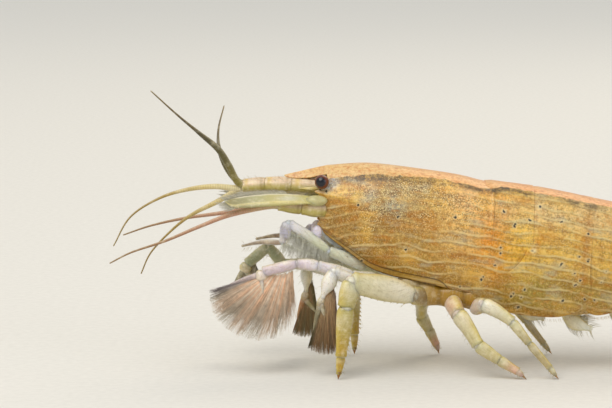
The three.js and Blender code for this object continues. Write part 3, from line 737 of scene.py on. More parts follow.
def trunk_marks(s, turn):
    """The marks of a trunk vertex, s along the back and turn round the flank."""
    along = s - ORBIT
    around = abs(turn)
    on_carapace, on_rings = fall(along, 23.0, 25.0), rise(along, 28.5, 31.5)
    streak = hump(around, 0.345 + 0.009 * along, 0.025) * window(along, 0.6, 1.8, 6.5, 9.0)
    upper_streak = hump(around, 0.235 + 0.008 * along, 0.022) * window(along, 1.2, 2.4, 6.0, 9.0)
    ash_before = hump(along, 6.6, 0.9) * hump(around, 0.43, 0.08)
    ash_behind = hump(along, 10.3, 1.8) * hump(around, 0.46, 0.07)
    colour = washed(
        GOLD,
        # The flank darkens downwards, the shoulder is grey, the cheek golden and the hind part pale.
        ("c8a05a", rise(around, 0.25, 0.55)),
        ("8f6b28", 0.88 * rise(around, 0.48, 0.82)),
        ("7a6a48", 0.85 * hump(along, 10.5, 5.2) * window(around, 0.1, 0.25, 0.5, 0.75) * on_carapace),
        ("e3bb6c", 0.8 * fall(along, 3.5, 8.5) * fall(around, 0.42, 0.6)),
        ("e6b678", 0.8 * rise(along, 14, 20) * on_carapace * fall(around, 0.55, 0.95)),
        # The rust saddle, with a rosy field before it and a sunny one behind.
        ("dc8434", 0.9 * hump(along, 24.4, 1.9 + 1.2 * around) * window(around, 0.14, 0.26, 0.68, 0.9)),
        ("dfa67e", 0.55 * hump(along, 20.5, 2.6) * window(around, 0.14, 0.24, 0.36, 0.5)),
        ("f0ba55", 0.8 * hump(along, 28.0, 2.6) * window(around, 0.3, 0.42, 0.66, 0.8)),
        # Behind the eye: two rusty streaks, a pale one between them, a blue-white patch and a lower streak.
        ("a9662a", 0.8 * max(streak, 0.9 * upper_streak)),
        ("c9cdc4", 0.75 * hump(around, 0.29 + 0.009 * along, 0.02) * window(along, 2.0, 3.0, 6.0, 8.5)),
        (BLUE_WHITE, fall(along, 0.8, 2.3) * window(around, 0.19, 0.25, 0.42, 0.52)),
        ("b5722c", 0.6 * hump(around, 0.56, 0.03) * window(along, -1.0, 1.0, 8.0, 12.0)),
        ("9aa098", 0.6 * max(ash_behind, ash_before)),
        ("b0702e", 0.5 * hump(along, 10.5, 6.5) * hump(around, 0.6, 0.04)),
        # The rings: grey-tan above, golden on the flank, olive and mossy below, fair where they start.
        ("dcb98a", 0.75 * on_rings * fall(around, 0.34, 0.52)),
        (GOLD, 0.6 * on_rings * window(around, 0.36, 0.5, 0.62, 0.78)),
        ("9c8038", 0.7 * rise(along, 24, 27) * rise(around, 0.68, 0.82)),
        ("8c8036", 0.6 * hump(along, 30.0, 4.5) * hump(around, 0.78, 0.1)),
        ("dfbf98", 0.5 * hump(along, 25.5, 4.0) * hump(around, 0.36, 0.12)),
        # The brown hem, the shaded lower front, each ring's end, and a fleck and a pearl on the second ring.
        ("9a6428", 0.8 * rise(around, 0.9, 1.0) * rise(along, 18, 25)),
        ("7f5f2c", 0.65 * fall(along, 8, 13) * rise(around, 0.5, 0.68)),
        *(
            (RED_BROWN, 0.6 * hump(s, end - 0.5, 0.75) * window(around, 0.2, 0.3, 0.6, 0.8))
            for end in SOMITE_ENDS[2:6]
        ),
        (RUST, 0.9 * hump(s, SOMITE_ENDS[1] + 1.1, 0.45) * hump(around, 0.53, 0.035)),
        (CREAM, 0.75 * hump(s, SOMITE_ENDS[1] + 0.6, 0.4) * hump(around, 0.58, 0.016)),
    )
    calm = clamp(0.3 + 0.6 * rise(around, 0.45, 0.6) - 0.9 * hump(along, 11.0, 6.5) * fall(around, 0.58, 0.8))
    return {
        "colour": colour,
        "along": along,
        "band": around * half_width_at(BACK.at(s)[0]) * 3.1 - band_edge_at(along),
        "calm": lerp(calm, max(calm, 0.7), rise(along, 17, 24)),
        "bold": border_at(along),
        "band_colour": washed(PALE_PINK, (PEACH, rise(along, 6, 16)), ("dfa174", 0.85 * rise(along, 21, 28))),
    }


# %% [markdown]
# The carapace is one plate with the rostrum, as in life. The plate is modelled as a film over the back and
# given its thickness afterwards, so it has a real edge to look under. Its front edge runs out to the
# rostrum's point, falls back round the eye, comes to a small tooth below it, and rounds off at the lower
# corner. A raised rim follows the lower and hind edges with a furrow inside it, which draws the double line
# seen there on the animal.

# %% Carapace and rostrum
ROSTRUM_TIP_X = -25.3
ROSTRUM_TURN = 0.25
CARAPACE_TURN = 1.07
HIND_SWEEP = 2.3
HEM_SPAN = 16
SHELL_WALL = 0.2
rostrum_half_at = profile([[0, 0.15], [0.35, 0.75], [0.75, 1.6], [1, 2.2]])
rostrum_top_at = profile([[0, 28.4], [0.35, 28.85], [0.7, 29.4], [1, 29.8]])
rostrum_fall_at = profile([[0, 0.2], [0.3, 0.75], [1, 0.98]])


def front_edge_at(around):
    """How far the front edge stands ahead of the orbit, below the rostrum."""
    _, down = section_at(around, UNDERSIDE)
    straight = -1.6 * min(down / 0.35, 1)
    notch = 0.55 * hump(around, 0.375, 0.065)
    tooth = -0.9 * hump(around, 0.5, 0.022)
    corner = 0.55 * rise(around, 0.86, 1.0)
    corner_tooth = -0.45 * hump(around, 0.87, 0.02)
    return straight + notch + tooth + corner + corner_tooth


def carapace_relief(share, around, along):
    """The plate's own relief: rim and furrow at the edges, a low keel, and the grooves behind the head."""
    from_hem = (1.0 - around) * HEM_SPAN
    rim = 0.16 * hump(from_hem, 0.1, 0.28) - 0.12 * hump(from_hem, 0.62, 0.22)
    from_end = (1 - share) * CARAPACE_LENGTH
    hind = 0.04 * hump(from_end, 0.1, 0.3) - 0.05 * hump(from_end, 0.65, 0.25)
    hind -= 0.3 * hump(from_end, 1.0, 1.9) * fall(around, 0.1, 0.24)
    keel = 0.14 * hump(around, 0.0, 0.09) * fall(along, 4, 16)
    groove = -0.16 * hump(along, 6.5 + 3.2 * around, 0.55) * window(around, 0.32, 0.45, 0.68, 0.85)
    brow = 0.16 * hump(around, 0.27, 0.035) * fall(along, 1.0, 4.5)
    cheek = 0.2 * hump(around, 0.52, 0.07) * fall(along, 0.5, 3.0)
    return rim * rise(share, 0.0, 0.04) + hind + keel + groove + brow + cheek


def place_carapace(u, v):
    share = u - 0.06 * math.sin(math.tau * u)
    turn = (2 * v - 1) * CARAPACE_TURN
    around = abs(turn)
    _, down = section_at(around, UNDERSIDE)
    sweep = -HIND_SWEEP * min(down, 1) ** 2.2
    front, ahead = ORBIT_X + front_edge_at(around), front_edge_at(around)
    if around < ROSTRUM_TURN:
        front, ahead = lerp(ROSTRUM_TIP_X, ORBIT_X + front_edge_at(ROSTRUM_TURN), around / ROSTRUM_TURN), 0
    x = lerp(front, BACK.at(SOMITE_ENDS[0])[0] + sweep, share)
    section_x = max(x - lerp(ahead, sweep, share), ORBIT_X)
    s = station_of(section_x)
    along = x - ORBIT_X
    relief = carapace_relief(share, around, along)
    point = trunk_point(s, turn, carapace_depth_at(section_x), shift=x - section_x, relief=relief)
    if x < ORBIT_X and around < ROSTRUM_TURN:
        forward = clamp((x - ROSTRUM_TIP_X) / (ORBIT_X - ROSTRUM_TIP_X))
        root = rise(forward, 0.85, 1.0)
        out = clamp(turn / max(ROSTRUM_TURN * forward, 1e-3), -1.0, 1.0)
        level = rostrum_top_at(forward) + 0.16 * hump(out, 0, 0.28)
        level -= rostrum_fall_at(forward) * abs(out) ** 1.6
        point = (x, lerp(out * rostrum_half_at(forward), point[1], root), lerp(level, point[2], root))
    marks = trunk_marks(max(s, ORBIT) + min(along, 0), turn)
    marks["lie"] = below_back(point)
    if around > 0.5:
        marks["hem"] = (1.0 - around) * HEM_SPAN + 2.6 * rise(marks["along"], 17, 23)
    return point, marks


carapace = new_form()
add_sheet(carapace, 96, 112, place_carapace)
face_up(carapace)


def place_keel(u, v):
    """The rostrum's thin lower keel, with its few teeth."""
    angle = math.tau * v
    x = lerp(ROSTRUM_TIP_X + 0.35, ORBIT_X + 0.6, u)
    forward = clamp((x - ROSTRUM_TIP_X) / (ORBIT_X - ROSTRUM_TIP_X))
    teeth = 0.16 * max(math.sin(u * math.tau * 6.5), 0) * fall(u, 0.7, 0.85)
    low = lerp(28.32, 27.95, rise(forward, 0.0, 0.35)) - teeth
    high = rostrum_top_at(forward) - 0.3
    shut = math.sin(math.pi * clamp(u)) ** 0.35 if 0 < u < 1 else 0
    middle, half = (low + high) / 2, (high - low) / 2
    # Painted shade: pale pink where the keel faces up, darker olive-brown where it faces down.
    colour = mixed(PALE_PINK, paint("8a7440"), 0.5 + 0.5 * math.sin(angle - math.pi / 2))
    point = (x, 0.26 * shut * math.sin(angle), middle + half * shut * math.cos(angle))
    return point, {"colour": colour, "along": x - ORBIT_X}


show(carapace, "carapace_shell", "carapace", SHELL, "carapace", "rostrum", wall=SHELL_WALL, rounds=1)
keel = new_form()
add_sheet(keel, 64, 16, place_keel)
show(keel, "rostrum_keel", "carapace", SHELL)

# %% [markdown]
# The pleon is six ringed plates that slide over each other like roof tiles, each with its hind edge over
# the next. The second ring breaks the rule, as in all true shrimps: its broad side lobe lies over both of
# its neighbours. Each plate is the trunk's film again, with its own front and hind edge, lifted where it
# overlaps and sunk where it is covered.


# %% Pleon plates
PLATE_TURN = 1.06
LAST_PLATE_TURN = 1.24
PLATE_HEM_SPAN = 17


def plate_edges(index, around):
    """How far a plate's front and hind edges are moved along the back, at a place round the flank."""
    if index == 0:
        return -1.2 - 2.2 * rise(around, 0.4, 1.0), 0.35 - 1.2 * rise(around, 0.6, 1.0)
    if index == 1:
        return -0.3 - 7.0 * rise(around, 0.52, 0.98) ** 1.1, 0.35 + 0.9 * hump(around, 0.9, 0.16)
    return -0.55, 0.35 + 0.75 * hump(around, 0.95, 0.2)


def plate_relief(index, share, around):
    """Lifted at the hind edge, sunk at the front, with a furrow before the rim."""
    lift = 0.02 * rise(share, 0.82, 1.0) - 0.18 * fall(share, 0.0, 0.16) - 0.04 * hump(share, 0.8, 0.035)
    if index == 1:
        lift += 0.42 * fall(share, 0.0, 0.3) * rise(around, 0.5, 0.66)
    if index == 0:
        lift -= 0.3 * rise(share, 0.6, 1.0) * rise(around, 0.5, 0.7)
    if index == 2:
        lift -= 0.25 * fall(share, 0.1, 0.4) * rise(around, 0.5, 0.7)
    from_hem = (1 - around) * PLATE_HEM_SPAN
    return lift + 0.12 * hump(from_hem, 0.1, 0.3) - 0.1 * hump(from_hem, 0.7, 0.25)


def place_plate(index):
    last = index == 5
    widest = LAST_PLATE_TURN if last else PLATE_TURN

    def place(u, v):
        share = u - 0.08 * math.sin(math.tau * u)
        turn = (2 * v - 1) * widest
        around = abs(turn)
        front, hind = plate_edges(index, around)
        s = lerp(SOMITE_ENDS[index] + front, SOMITE_ENDS[index + 1] + hind, share)
        x = BACK.at(s)[0]
        corner = abs(2 * share - 1)
        lobe = 1 if last else 1 - 0.13 * corner**4 * rise(around, 0.55, 1.0)
        lean = lean_at(x) * slope_at(s)
        relief = plate_relief(index, share, around)
        under = 0.97 if last else 0.78
        point = trunk_point(s, turn, pleon_depth_at(x) * lobe, lean=lean, relief=relief, underside=under)
        return point, {**trunk_marks(s, turn), "lie": below_back(point)}

    return place


for index in range(len(SOMITE_LENGTHS)):
    plate = new_form()
    add_sheet(plate, 26 if index != 1 else 40, 84, place_plate(index))
    face_up(plate)
    node = f"pleon_somite_{index + 1}"
    show(plate, f"pleon_plate_{index + 1}", "pleon", SHELL, node, wall=SHELL_WALL / 2, rounds=1)

# %% [markdown]
# Under the plates lies one soft body from mouth to tail. It fills every gap between the plates, so no view
# looks into an empty shell, and it bulges below the carapace into the breastplate that the legs hang from.
# Low ribs across it mark the hard bars between one pair of legs and the next.


# %% Soft body
def place_body(u, v):
    s = lerp(ORBIT, SOMITE_ENDS[6], u) - 0.4
    turn = (2 * v - 1) / FLANK_SHARE
    around = abs(turn)
    x = BACK.at(s)[0]
    shut = math.sin(math.pi * clamp(min(u * 18, (1 - u) * 18, 0.5))) ** 0.5
    in_thorax = window(x, -16.5, -14, 4.5, 7.5)
    pleon = rise(x, 3.5, 7.0)
    depth = lerp(carapace_depth_at(x), pleon_depth_at(x), pleon)
    lean = lean_at(x) * slope_at(s) * pleon
    under = lerp(0.86, 1.1, in_thorax)
    below = rise(around, 1.0, 1.12)
    ribs = 0.14 * math.cos(s * math.tau / 3.3) * below
    inset = lerp(-0.55, -0.25, below) + ribs
    flat = trunk_point(s, turn, depth, lean=lean, relief=inset, underside=under)
    middle = (x - 0.5 * depth * math.sin(lean), 0.0, BACK.at(s)[2] - 0.5 * depth * math.cos(lean))
    point = tuple(lerp(m, p, shut) for m, p in zip(middle, flat))
    colour = washed(
        paint("b89a62"), ("cfc7a4", below), (BLUE_WHITE, 0.45 * below * fall(x, -10, -4)),
        ("a8823c", 0.6 * below * pleon),
    )
    return point, {"colour": colour, "along": s, "lie": around * 12}


soft_body = new_form()
add_sheet(soft_body, 190, 72, place_body)
show(soft_body, "soft_body", "membrane", FLESH, "thorax_underside")

# %% [markdown]
# A limb is a row of hollow tubes in life, each a little wider at its far end, where the next one plugs into
# it through a soft ring. So each segment is a grid rolled along a short line, with a narrow root that sits
# inside the flared lip of the one before it, and a soft ball fills every joint. Frames that turn as little
# as possible keep the grid untwisted.


# %% Tubes and segments
def frames_along(line, shares):
    """A point, an up and a sideways direction at each share of a line's length."""
    up = Vector((0, 0, 1))
    found = []
    for share in shares:
        ahead = Vector(line.heading(share * line.length))
        up = up - ahead * up.dot(ahead)
        if up.length < 0.05:
            up = ahead.orthogonal()
        up.normalize()
        found.append((Vector(line.at(share * line.length)), up.copy(), ahead.cross(up)))
    return found


def add_tube(form, line, rings, sides, radius_at, colour_at, flat=1.0, crowd=0.6):
    """Rolls a grid round a line. radius_at takes the share along it, colour_at the angle from its top too."""
    shares = [lerp(i / rings, 0.5 - 0.5 * math.cos(math.pi * i / rings), crowd) for i in range(rings + 1)]
    stations = frames_along(line, shares)
    first, last = 0.6 * radius_at(0), 0.42 * radius_at(1)

    def place(u, v):
        i = round(u * rings)
        share, angle = shares[i], math.tau * v
        centre, up, side = stations[i]
        radius = radius_at(share)
        from_start = share * line.length
        for reach, end in ((from_start, first), (line.length - from_start, last)):
            if reach < end:
                radius *= math.sqrt(max(1 - (1 - reach / end) ** 2, 0))
        point = centre + up * (radius * math.cos(angle)) + side * (radius * flat * math.sin(angle))
        return point, {"colour": colour_at(share, angle), "along": from_start, "lie": radius * angle}

    add_sheet(form, rings, sides, place)


def add_segment(form, a, b, radii, colour_at, flat=0.84, bow=0.0, rings=16, sides=14, waist=0.6, flare=1.06):
    """One hard segment from joint a to joint b. Its narrow root sits inside the lip of the one before it."""
    start, middle, end = radii
    width = profile(
        [[0, waist * start], [0.07, lerp(waist, 1, 0.55) * start], [0.16, start], [0.5, middle], [0.86, end],
         [0.95, flare * end], [1, end]]
    )
    way = (b - a).normalized()
    a = a - way * 0.35 * start
    b = b + way * 0.15 * end
    line = Line([a, (a + b) / 2 + Vector((0, 0, bow)), b], steps=12)
    add_tube(form, line, rings, sides, width, colour_at, flat=flat)


def add_ball(form, centre, size, colour, detail=2, turn=None):
    """A soft ball, or with three sizes a lobe, turned by an Euler rotation."""
    sizes = (size,) * 3 if isinstance(size, (int, float)) else size
    frame_of = Matrix.LocRotScale(Vector(centre), turn, Vector(sizes))
    ball = bmesh.ops.create_icosphere(form, subdivisions=detail, radius=1, matrix=frame_of, calc_uvs=True)
    for vert in ball["verts"]:
        mark(form, vert, colour, along=vert.co.x, lie=vert.co.z)


def add_spine(form, root, way, length, radius, colour, sides=6):
    """A sharp cone from root along way."""
    way = Vector(way).normalized()
    middle = Vector(root) + way * (length / 2)
    frame_of = Matrix.Translation(middle) @ way.to_track_quat("Z", "Y").to_matrix().to_4x4()
    cone = bmesh.ops.create_cone(
        form, cap_ends=True, segments=sides, radius1=radius, radius2=radius * 0.08, depth=length,
        matrix=frame_of, calc_uvs=True,
    )
    for vert in cone["verts"]:
        mark(form, vert, colour, along=vert.co.x, lie=vert.co.z)


def on_side(side, joints):
    return [Vector((x, side * out, z)) for x, out, z in joints]


# %% [markdown]
# Three pairs of walking legs. The third pair is stout, with a swollen thigh, rows of low spines and a
# strong claw; the fourth and fifth are slim props with a small claw and a comb. Each has its own colours,
# pale and streaked like wax.

# %% Walking legs
# Each segment's radius at its start, middle and end, then each leg's side, radii and joints from hip to foot.
STOUT = [[1.2, 1.45, 1.3], [1.5, 1.9, 1.6], [1.45, 1.55, 1.35], [1.3, 1.15, 0.85], [0.7, 0.6, 0.42]]
FOURTH = [[1.4, 1.45, 1.3], [1.3, 1.15, 1.0], [1.0, 0.95, 0.8], [0.8, 0.7, 0.6], [0.5, 0.45, 0.3]]
FIFTH = [[1.1, 1.2, 1.0], [1.1, 0.98, 0.8], [0.75, 0.7, 0.6], [0.6, 0.56, 0.5], [0.45, 0.4, 0.28]]
LEGS = {
    "third_left": (LEFT, STOUT, [[-4.2, 3.6, 11.0], [-6.5, 6.0, 11.5], [-15.4, 9.5, 13.9],
                                 [-16.2, 10.0, 10.4], [-16.9, 10.3, 3.2], [-17.3, 10.5, 0]]),
    "third_right": (RIGHT, STOUT, [[-4.2, 3.6, 11.0], [-6.6, 6.2, 11.4], [-14.6, 9.6, 13.7],
                                   [-14.9, 10.1, 9.8], [-14.6, 10.4, 3.0], [-14.6, 10.5, 0]]),
    "fourth_left": (LEFT, FOURTH, [[-0.9, 3.7, 10.8], [0.1, 6.9, 8.9], [2.9, 9.1, 4.7], [5.9, 9.8, 2.7],
                                   [8.6, 10.2, 1.1], [9.8, 10.5, 0]]),
    "fourth_right": (RIGHT, FOURTH, [[-0.9, 3.7, 10.8], [-4.6, 7.0, 9.0], [-4.6, 9.0, 6.1], [-3.4, 9.8, 3.9],
                                     [-2.2, 10.3, 1.4], [-1.8, 10.5, 0]]),
    "fifth_left": (LEFT, FIFTH, [[2.6, 3.8, 9.4], [3.7, 7.3, 10.4], [7.8, 8.8, 8.1], [10.2, 9.4, 5.1],
                                 [13.2, 10.2, 1.6], [14.4, 10.5, 0]]),
    "fifth_right": (RIGHT, FIFTH, [[2.6, 3.8, 9.4], [4.4, 7.4, 10.2], [9.0, 8.9, 8.0], [11.2, 9.5, 5.2],
                                   [14.0, 10.2, 1.6], [15.2, 10.5, 0]]),
}
LEG_TONES = {
    "third": ("7d6233", "dcd5c0", "cfc8a6", "b8ab70", "b79a4c"),
    "fourth": ("d2b29c", "cfc6a8", "c4bb92", "c0b48e", "d4ab9a"),
    "fifth": ("dccbc0", "ddd8c6", "c9c29e", "aba07e", "b0a27c"),
}
# Low spines of the stout legs: on which segment, and how many.
SPINE_ROWS = ((1, 7), (2, 4), (3, 8))
HIP_LINE = [[-8.6, 3.4, 13.6], [-4.2, 3.5, 11.6], [-0.9, 3.6, 11.2], [2.6, 3.7, 10.9], [5.4, 3.6, 11.0]]
# Dark olive lip colour: a seam before each lip, and painted shade at each root inside the last segment's lip.
JOINT_SEAM_AND_SHADE = paint("8f8a5a")


def segment_colour(base, tip, lip=JOINT_SEAM_AND_SHADE, lining=STRAW):
    """A segment's pigment: its own colour, lined with yellow along its edges, a painted highlight on
    its top, a dark seam at its lip, and painted shade at its root, inside the last segment's lip.
    """

    def colour_at(share, angle):
        return washed(
            base,
            (tip, rise(share, 0.2, 1.0)),
            (lining, 0.7 * abs(math.cos(angle)) ** 5),
            # Painted highlight: ivory on the upper side of each segment.
            (IVORY, 0.35 * hump(share, 0.3, 0.12) * (0.5 + 0.5 * math.cos(angle))),
            # The lip colour as a seam before the lip and at the root, inside the last segment's lip; a dark
            # lip colour makes the root painted shade.
            (lip, 0.4 * hump(share, 0.93, 0.022) + 0.45 * fall(share, 0.02, 0.12)),
            (IVORY, 0.4 * hump(share, 0.99, 0.025)),
        )

    return colour_at


def add_claw(form, foot, root, radius):
    """The last bit of a leg, which stands on the floor: a short cone with a worn flat tip."""
    way = (foot - root).normalized()
    add_spine(form, foot - way * 1.1 + Vector((0, 0, 0.02)), way, 1.08, radius, paint("8a5f34"), sides=10)


hairs = ([], [], [])
hair_chance = random.Random(11)


def grow_hairs(a, b, radius, count, length, below=0.5):
    """Notes fine hairs along a segment, most of them on its lower side and leaning to its tip."""
    way = (b - a).normalized()
    side = way.cross(Vector((0, 0, 1))).normalized()
    up = side.cross(way)
    for _ in range(count):
        share = hair_chance.uniform(0.08, 0.98)
        lower = hair_chance.random() < below
        angle = hair_chance.gauss(math.pi, 1.0) if lower else hair_chance.uniform(0, math.tau)
        out = up * math.cos(angle) + side * math.sin(angle)
        root = a.lerp(b, share) + out * radius * 0.86
        long = length * hair_chance.uniform(0.6, 1.2)
        for kept, across, ahead in zip(hairs, (0, 0.5, 0.7), (0, 0.15, 0.65)):
            kept.append(root + out * long * across + way * long * ahead)


for name, (side, radii, joints) in LEGS.items():
    leg = new_form()
    pair = name.split("_")[0]
    stout = pair == "third"
    colours = [paint(tone) for tone in LEG_TONES[pair]]
    places = on_side(side, joints)
    for i, three in enumerate(radii):
        a, b = places[i], places[i + 1]
        tip_colour = colours[min(i + 1, 4)] if i else mixed(colours[0], colours[1], 0.25)
        if i == 4:
            b = b + (a - b).normalized() * 0.75
        colour = segment_colour(colours[i], tip_colour, JOINT_SEAM_AND_SHADE if i else paint("6f5f34"))
        flat, bow = 0.72 if stout else 0.82, 0.25 if i == 1 else 0.0
        add_segment(leg, a, b, three, colour, flat=flat, bow=bow, rings=20, sides=18)
        if i:
            add_ball(leg, a, 0.72 * min(three[0], radii[i - 1][2]), mixed(colours[i - 1], IVORY, 0.2))
        grow_hairs(a, b, three[1], 26 if stout else 16, 0.75 if stout else 0.55)
    add_claw(leg, places[5], places[4], radii[4][2] * 0.95)
    for i, count in (SPINE_ROWS if stout else ()):
        a, b = places[i], places[i + 1]
        way = (b - a).normalized()
        down = (Vector((1, 0, -0.4)) if i > 1 else Vector((0, 0, -1))) - way * 0.2
        width = profile([[0, radii[i][0]], [0.5, radii[i][1]], [1, radii[i][2]]])
        for k in range(count):
            share = 0.15 + 0.75 * k / count
            root = a.lerp(b, share) + down.normalized() * width(share) * 0.86
            add_spine(leg, root, down + way * 1.4, 0.42, 0.11, paint("c4ad74"))
    show(leg, f"walking_leg_{name}", "walking_leg", LIMB, f"leg_{name}")


def hip_ripple(share):
    """1 at each hip's middle and -1 at the seams between them."""
    return math.cos((share - 0.33) * math.tau * 4.1)


def hip_radius(share):
    return 1.75 + 0.14 * hip_ripple(share)


def hip_colour(share, angle):
    seam = hump(hip_ripple(share), -1, 0.12)
    return washed(paint("b9a67c"), ("a3803f", rise(share, 0.15, 0.45)), ("6f5426", 0.5 * seam))


for side_name, side in SIDES.items():
    hips = new_form()
    line = Line(on_side(side, HIP_LINE))
    add_tube(hips, line, 60, 32, hip_radius, hip_colour, flat=0.95, crowd=0.3)
    show(hips, f"hips_{side_name}", "membrane", FLESH)

# %% [markdown]
# The foremost two pairs of legs carry the fans. An arm ends in a swollen palm with three short fingers, set
# in the root of a brush of long, stiff bristles. Opened under the chin the brushes are a net, lowered they
# rake the gravel. The bristles fan out evenly between two directions, from a short rail, bowed outwards and
# pleated a little like a curtain.

# %% Arms and hands
FIRST_ARM = [[0.8, 0.9, 0.75], [0.8, 0.95, 0.8], [0.8, 0.9, 0.75], [0.75, 0.85, 0.8]]
SECOND_ARM = [[0.8, 0.9, 0.75], [0.8, 0.95, 0.9], [0.95, 1.1, 0.4]]
ARMS = {
    "first_left": {
        "side": LEFT, "radii": FIRST_ARM, "opens": (-17, -92), "reach": (8.2, 8.4), "belly": 2.4,
        "rail": (4.4, 0.2), "yaw": 4,
        "joints": [[-10.6, 3.4, 13.5], [-15.2, 5.0, 14.3], [-20.2, 6.0, 15.9], [-23.2, 6.0, 16.2],
                   [-28.2, 6.2, 15.0]],
        "tones": ("dcd8ca", "e2e0e4", "e4dce2", "cdbfc8"), "edges": ("857c84", "e0bc9c"),
        "stripes": ("ffe8d0", "ead0b4", "cbc2ae", "ffd0a8"),
    },
    "first_right": {
        "side": RIGHT, "radii": FIRST_ARM, "opens": (-58, -112), "reach": (7.6, 7.8), "belly": 0.8,
        "rail": (1.2, 0), "yaw": 4,
        "joints": [[-10.6, 3.4, 13.5], [-16.4, 4.9, 14.8], [-25.3, 5.8, 14.4], [-27.5, 6.0, 17.1],
                   [-30.7, 6.2, 14.4]],
        "tones": ("c4c6a4", "b9b99c", "8f9474", "94987a"), "edges": ("7b7a66", "6d6a55"),
        "stripes": ("d6c6ac", "a8a288", "b4a98e", "938e76"),
    },
    "second_left": {
        "side": LEFT, "radii": SECOND_ARM, "opens": (-74, -112), "reach": (7.4, 7.4), "belly": 0.4,
        "rail": (0.8, 0), "yaw": -6,
        "joints": [[-7.0, 3.4, 12.2], [-12.2, 5.4, 12.4], [-17.9, 7.7, 15.2], [-19.6, 7.9, 11.4]],
        "tones": ("d6cfb8", "e6e2da", "ebe8e4"), "edges": ("54522e", "6b5a6a"),
        "stripes": ("b29a70", "a88258", "93795a", "c69c74"),
    },
    "second_right": {
        "side": RIGHT, "radii": SECOND_ARM, "opens": (-70, -108), "reach": (6.4, 6.2), "belly": 0.4,
        "rail": (0.8, 0), "yaw": -6,
        "joints": [[-7.0, 3.4, 12.2], [-14.0, 6.2, 12.2], [-21.8, 8.2, 14.0], [-21.9, 8.4, 9.8]],
        "tones": ("c9ccb8", "d6d6c8", "e3e0d6"), "edges": ("9a6a40", "6a6a3c"),
        "stripes": ("c9a478", "a88a5c", "938c62", "bd9468"),
    },
}
FAN_BOW = 0.14


def fan_point(arm, open_share, out_share, sideways=0.0, short=0.0):
    """A point of a fan: open_share across its spread, out_share along its bristles."""
    share = clamp(open_share)
    full = lerp(*arm["reach"], share) + 4 * arm["belly"] * share * (1 - share)
    out = max(out_share * (full - short), 0)
    angle, turn = math.radians(lerp(*arm["opens"], open_share)), math.radians(arm["yaw"])
    root = on_side(arm["side"], arm["joints"])[-1]
    forward = out * math.cos(angle)
    bow = FAN_BOW * out * (1 - 4 * (open_share - 0.5) ** 2) + sideways
    return Vector(
        (
            root.x + arm["rail"][0] * share - forward * math.cos(turn),
            root.y + arm["side"] * (bow + forward * math.sin(turn)),
            root.z + arm["rail"][1] * share - 0.35 + out * math.sin(angle),
        )
    )


for name, arm in ARMS.items():
    form = new_form()
    places = on_side(arm["side"], arm["joints"])
    tones = [paint(tone) for tone in arm["tones"]]
    for i, three in enumerate(arm["radii"]):
        colour = segment_colour(tones[i], tones[min(i + 1, len(tones) - 1)], paint("a09a86"), paint("d9cfa8"))
        add_segment(form, places[i], places[i + 1], three, colour, flat=0.8, rings=20, sides=18)
        if i:
            add_ball(form, places[i], 0.72 * three[0], mixed(tones[i], IVORY, 0.5))
        grow_hairs(places[i], places[i + 1], three[1], 26, 0.9)
    root = places[-1]
    palm_end = root + Vector((-0.4, 0, -1.2))
    light, grey = paint(arm["stripes"][0]), paint(arm["stripes"][2])
    palm = segment_colour(mixed(tones[-1], light, 0.5), light, JOINT_SEAM_AND_SHADE)
    plump = 1.0 if len(arm["radii"]) == 4 else 0.6
    add_segment(form, root, palm_end, [0.75 * plump, 0.95 * plump, 0.8 * plump], palm, rings=12)
    for open_share, length in ((0.0, 0.62), (0.5, 0.34), (1.0, 0.5)):
        base = root.lerp(palm_end, 0.3 + 0.5 * open_share)
        finger_end = fan_point(arm, open_share, length)
        middle = base.lerp(finger_end, 0.5) + Vector((0, arm["side"] * 0.12, 0.1))
        line = Line([base, middle, finger_end], steps=12)
        width = profile([[0, 0.5], [0.3, 0.44], [0.75, 0.26], [1, 0.1]])
        dark = mixed(paint(arm["edges"][0]), grey, open_share)

        def finger_colour(share, angle):
            return mixed(mixed(tones[-1], light, 0.6), dark, 0.8 * rise(share, 0.05, 0.35))

        add_tube(form, line, 16, 10, width, finger_colour, flat=0.75)
    show(form, f"arm_{name}", "cheliped", LIMB, f"cheliped_{name}")

# %% Fans of bristles
FAN_BRISTLES = 1500
fan_chance = random.Random(5)

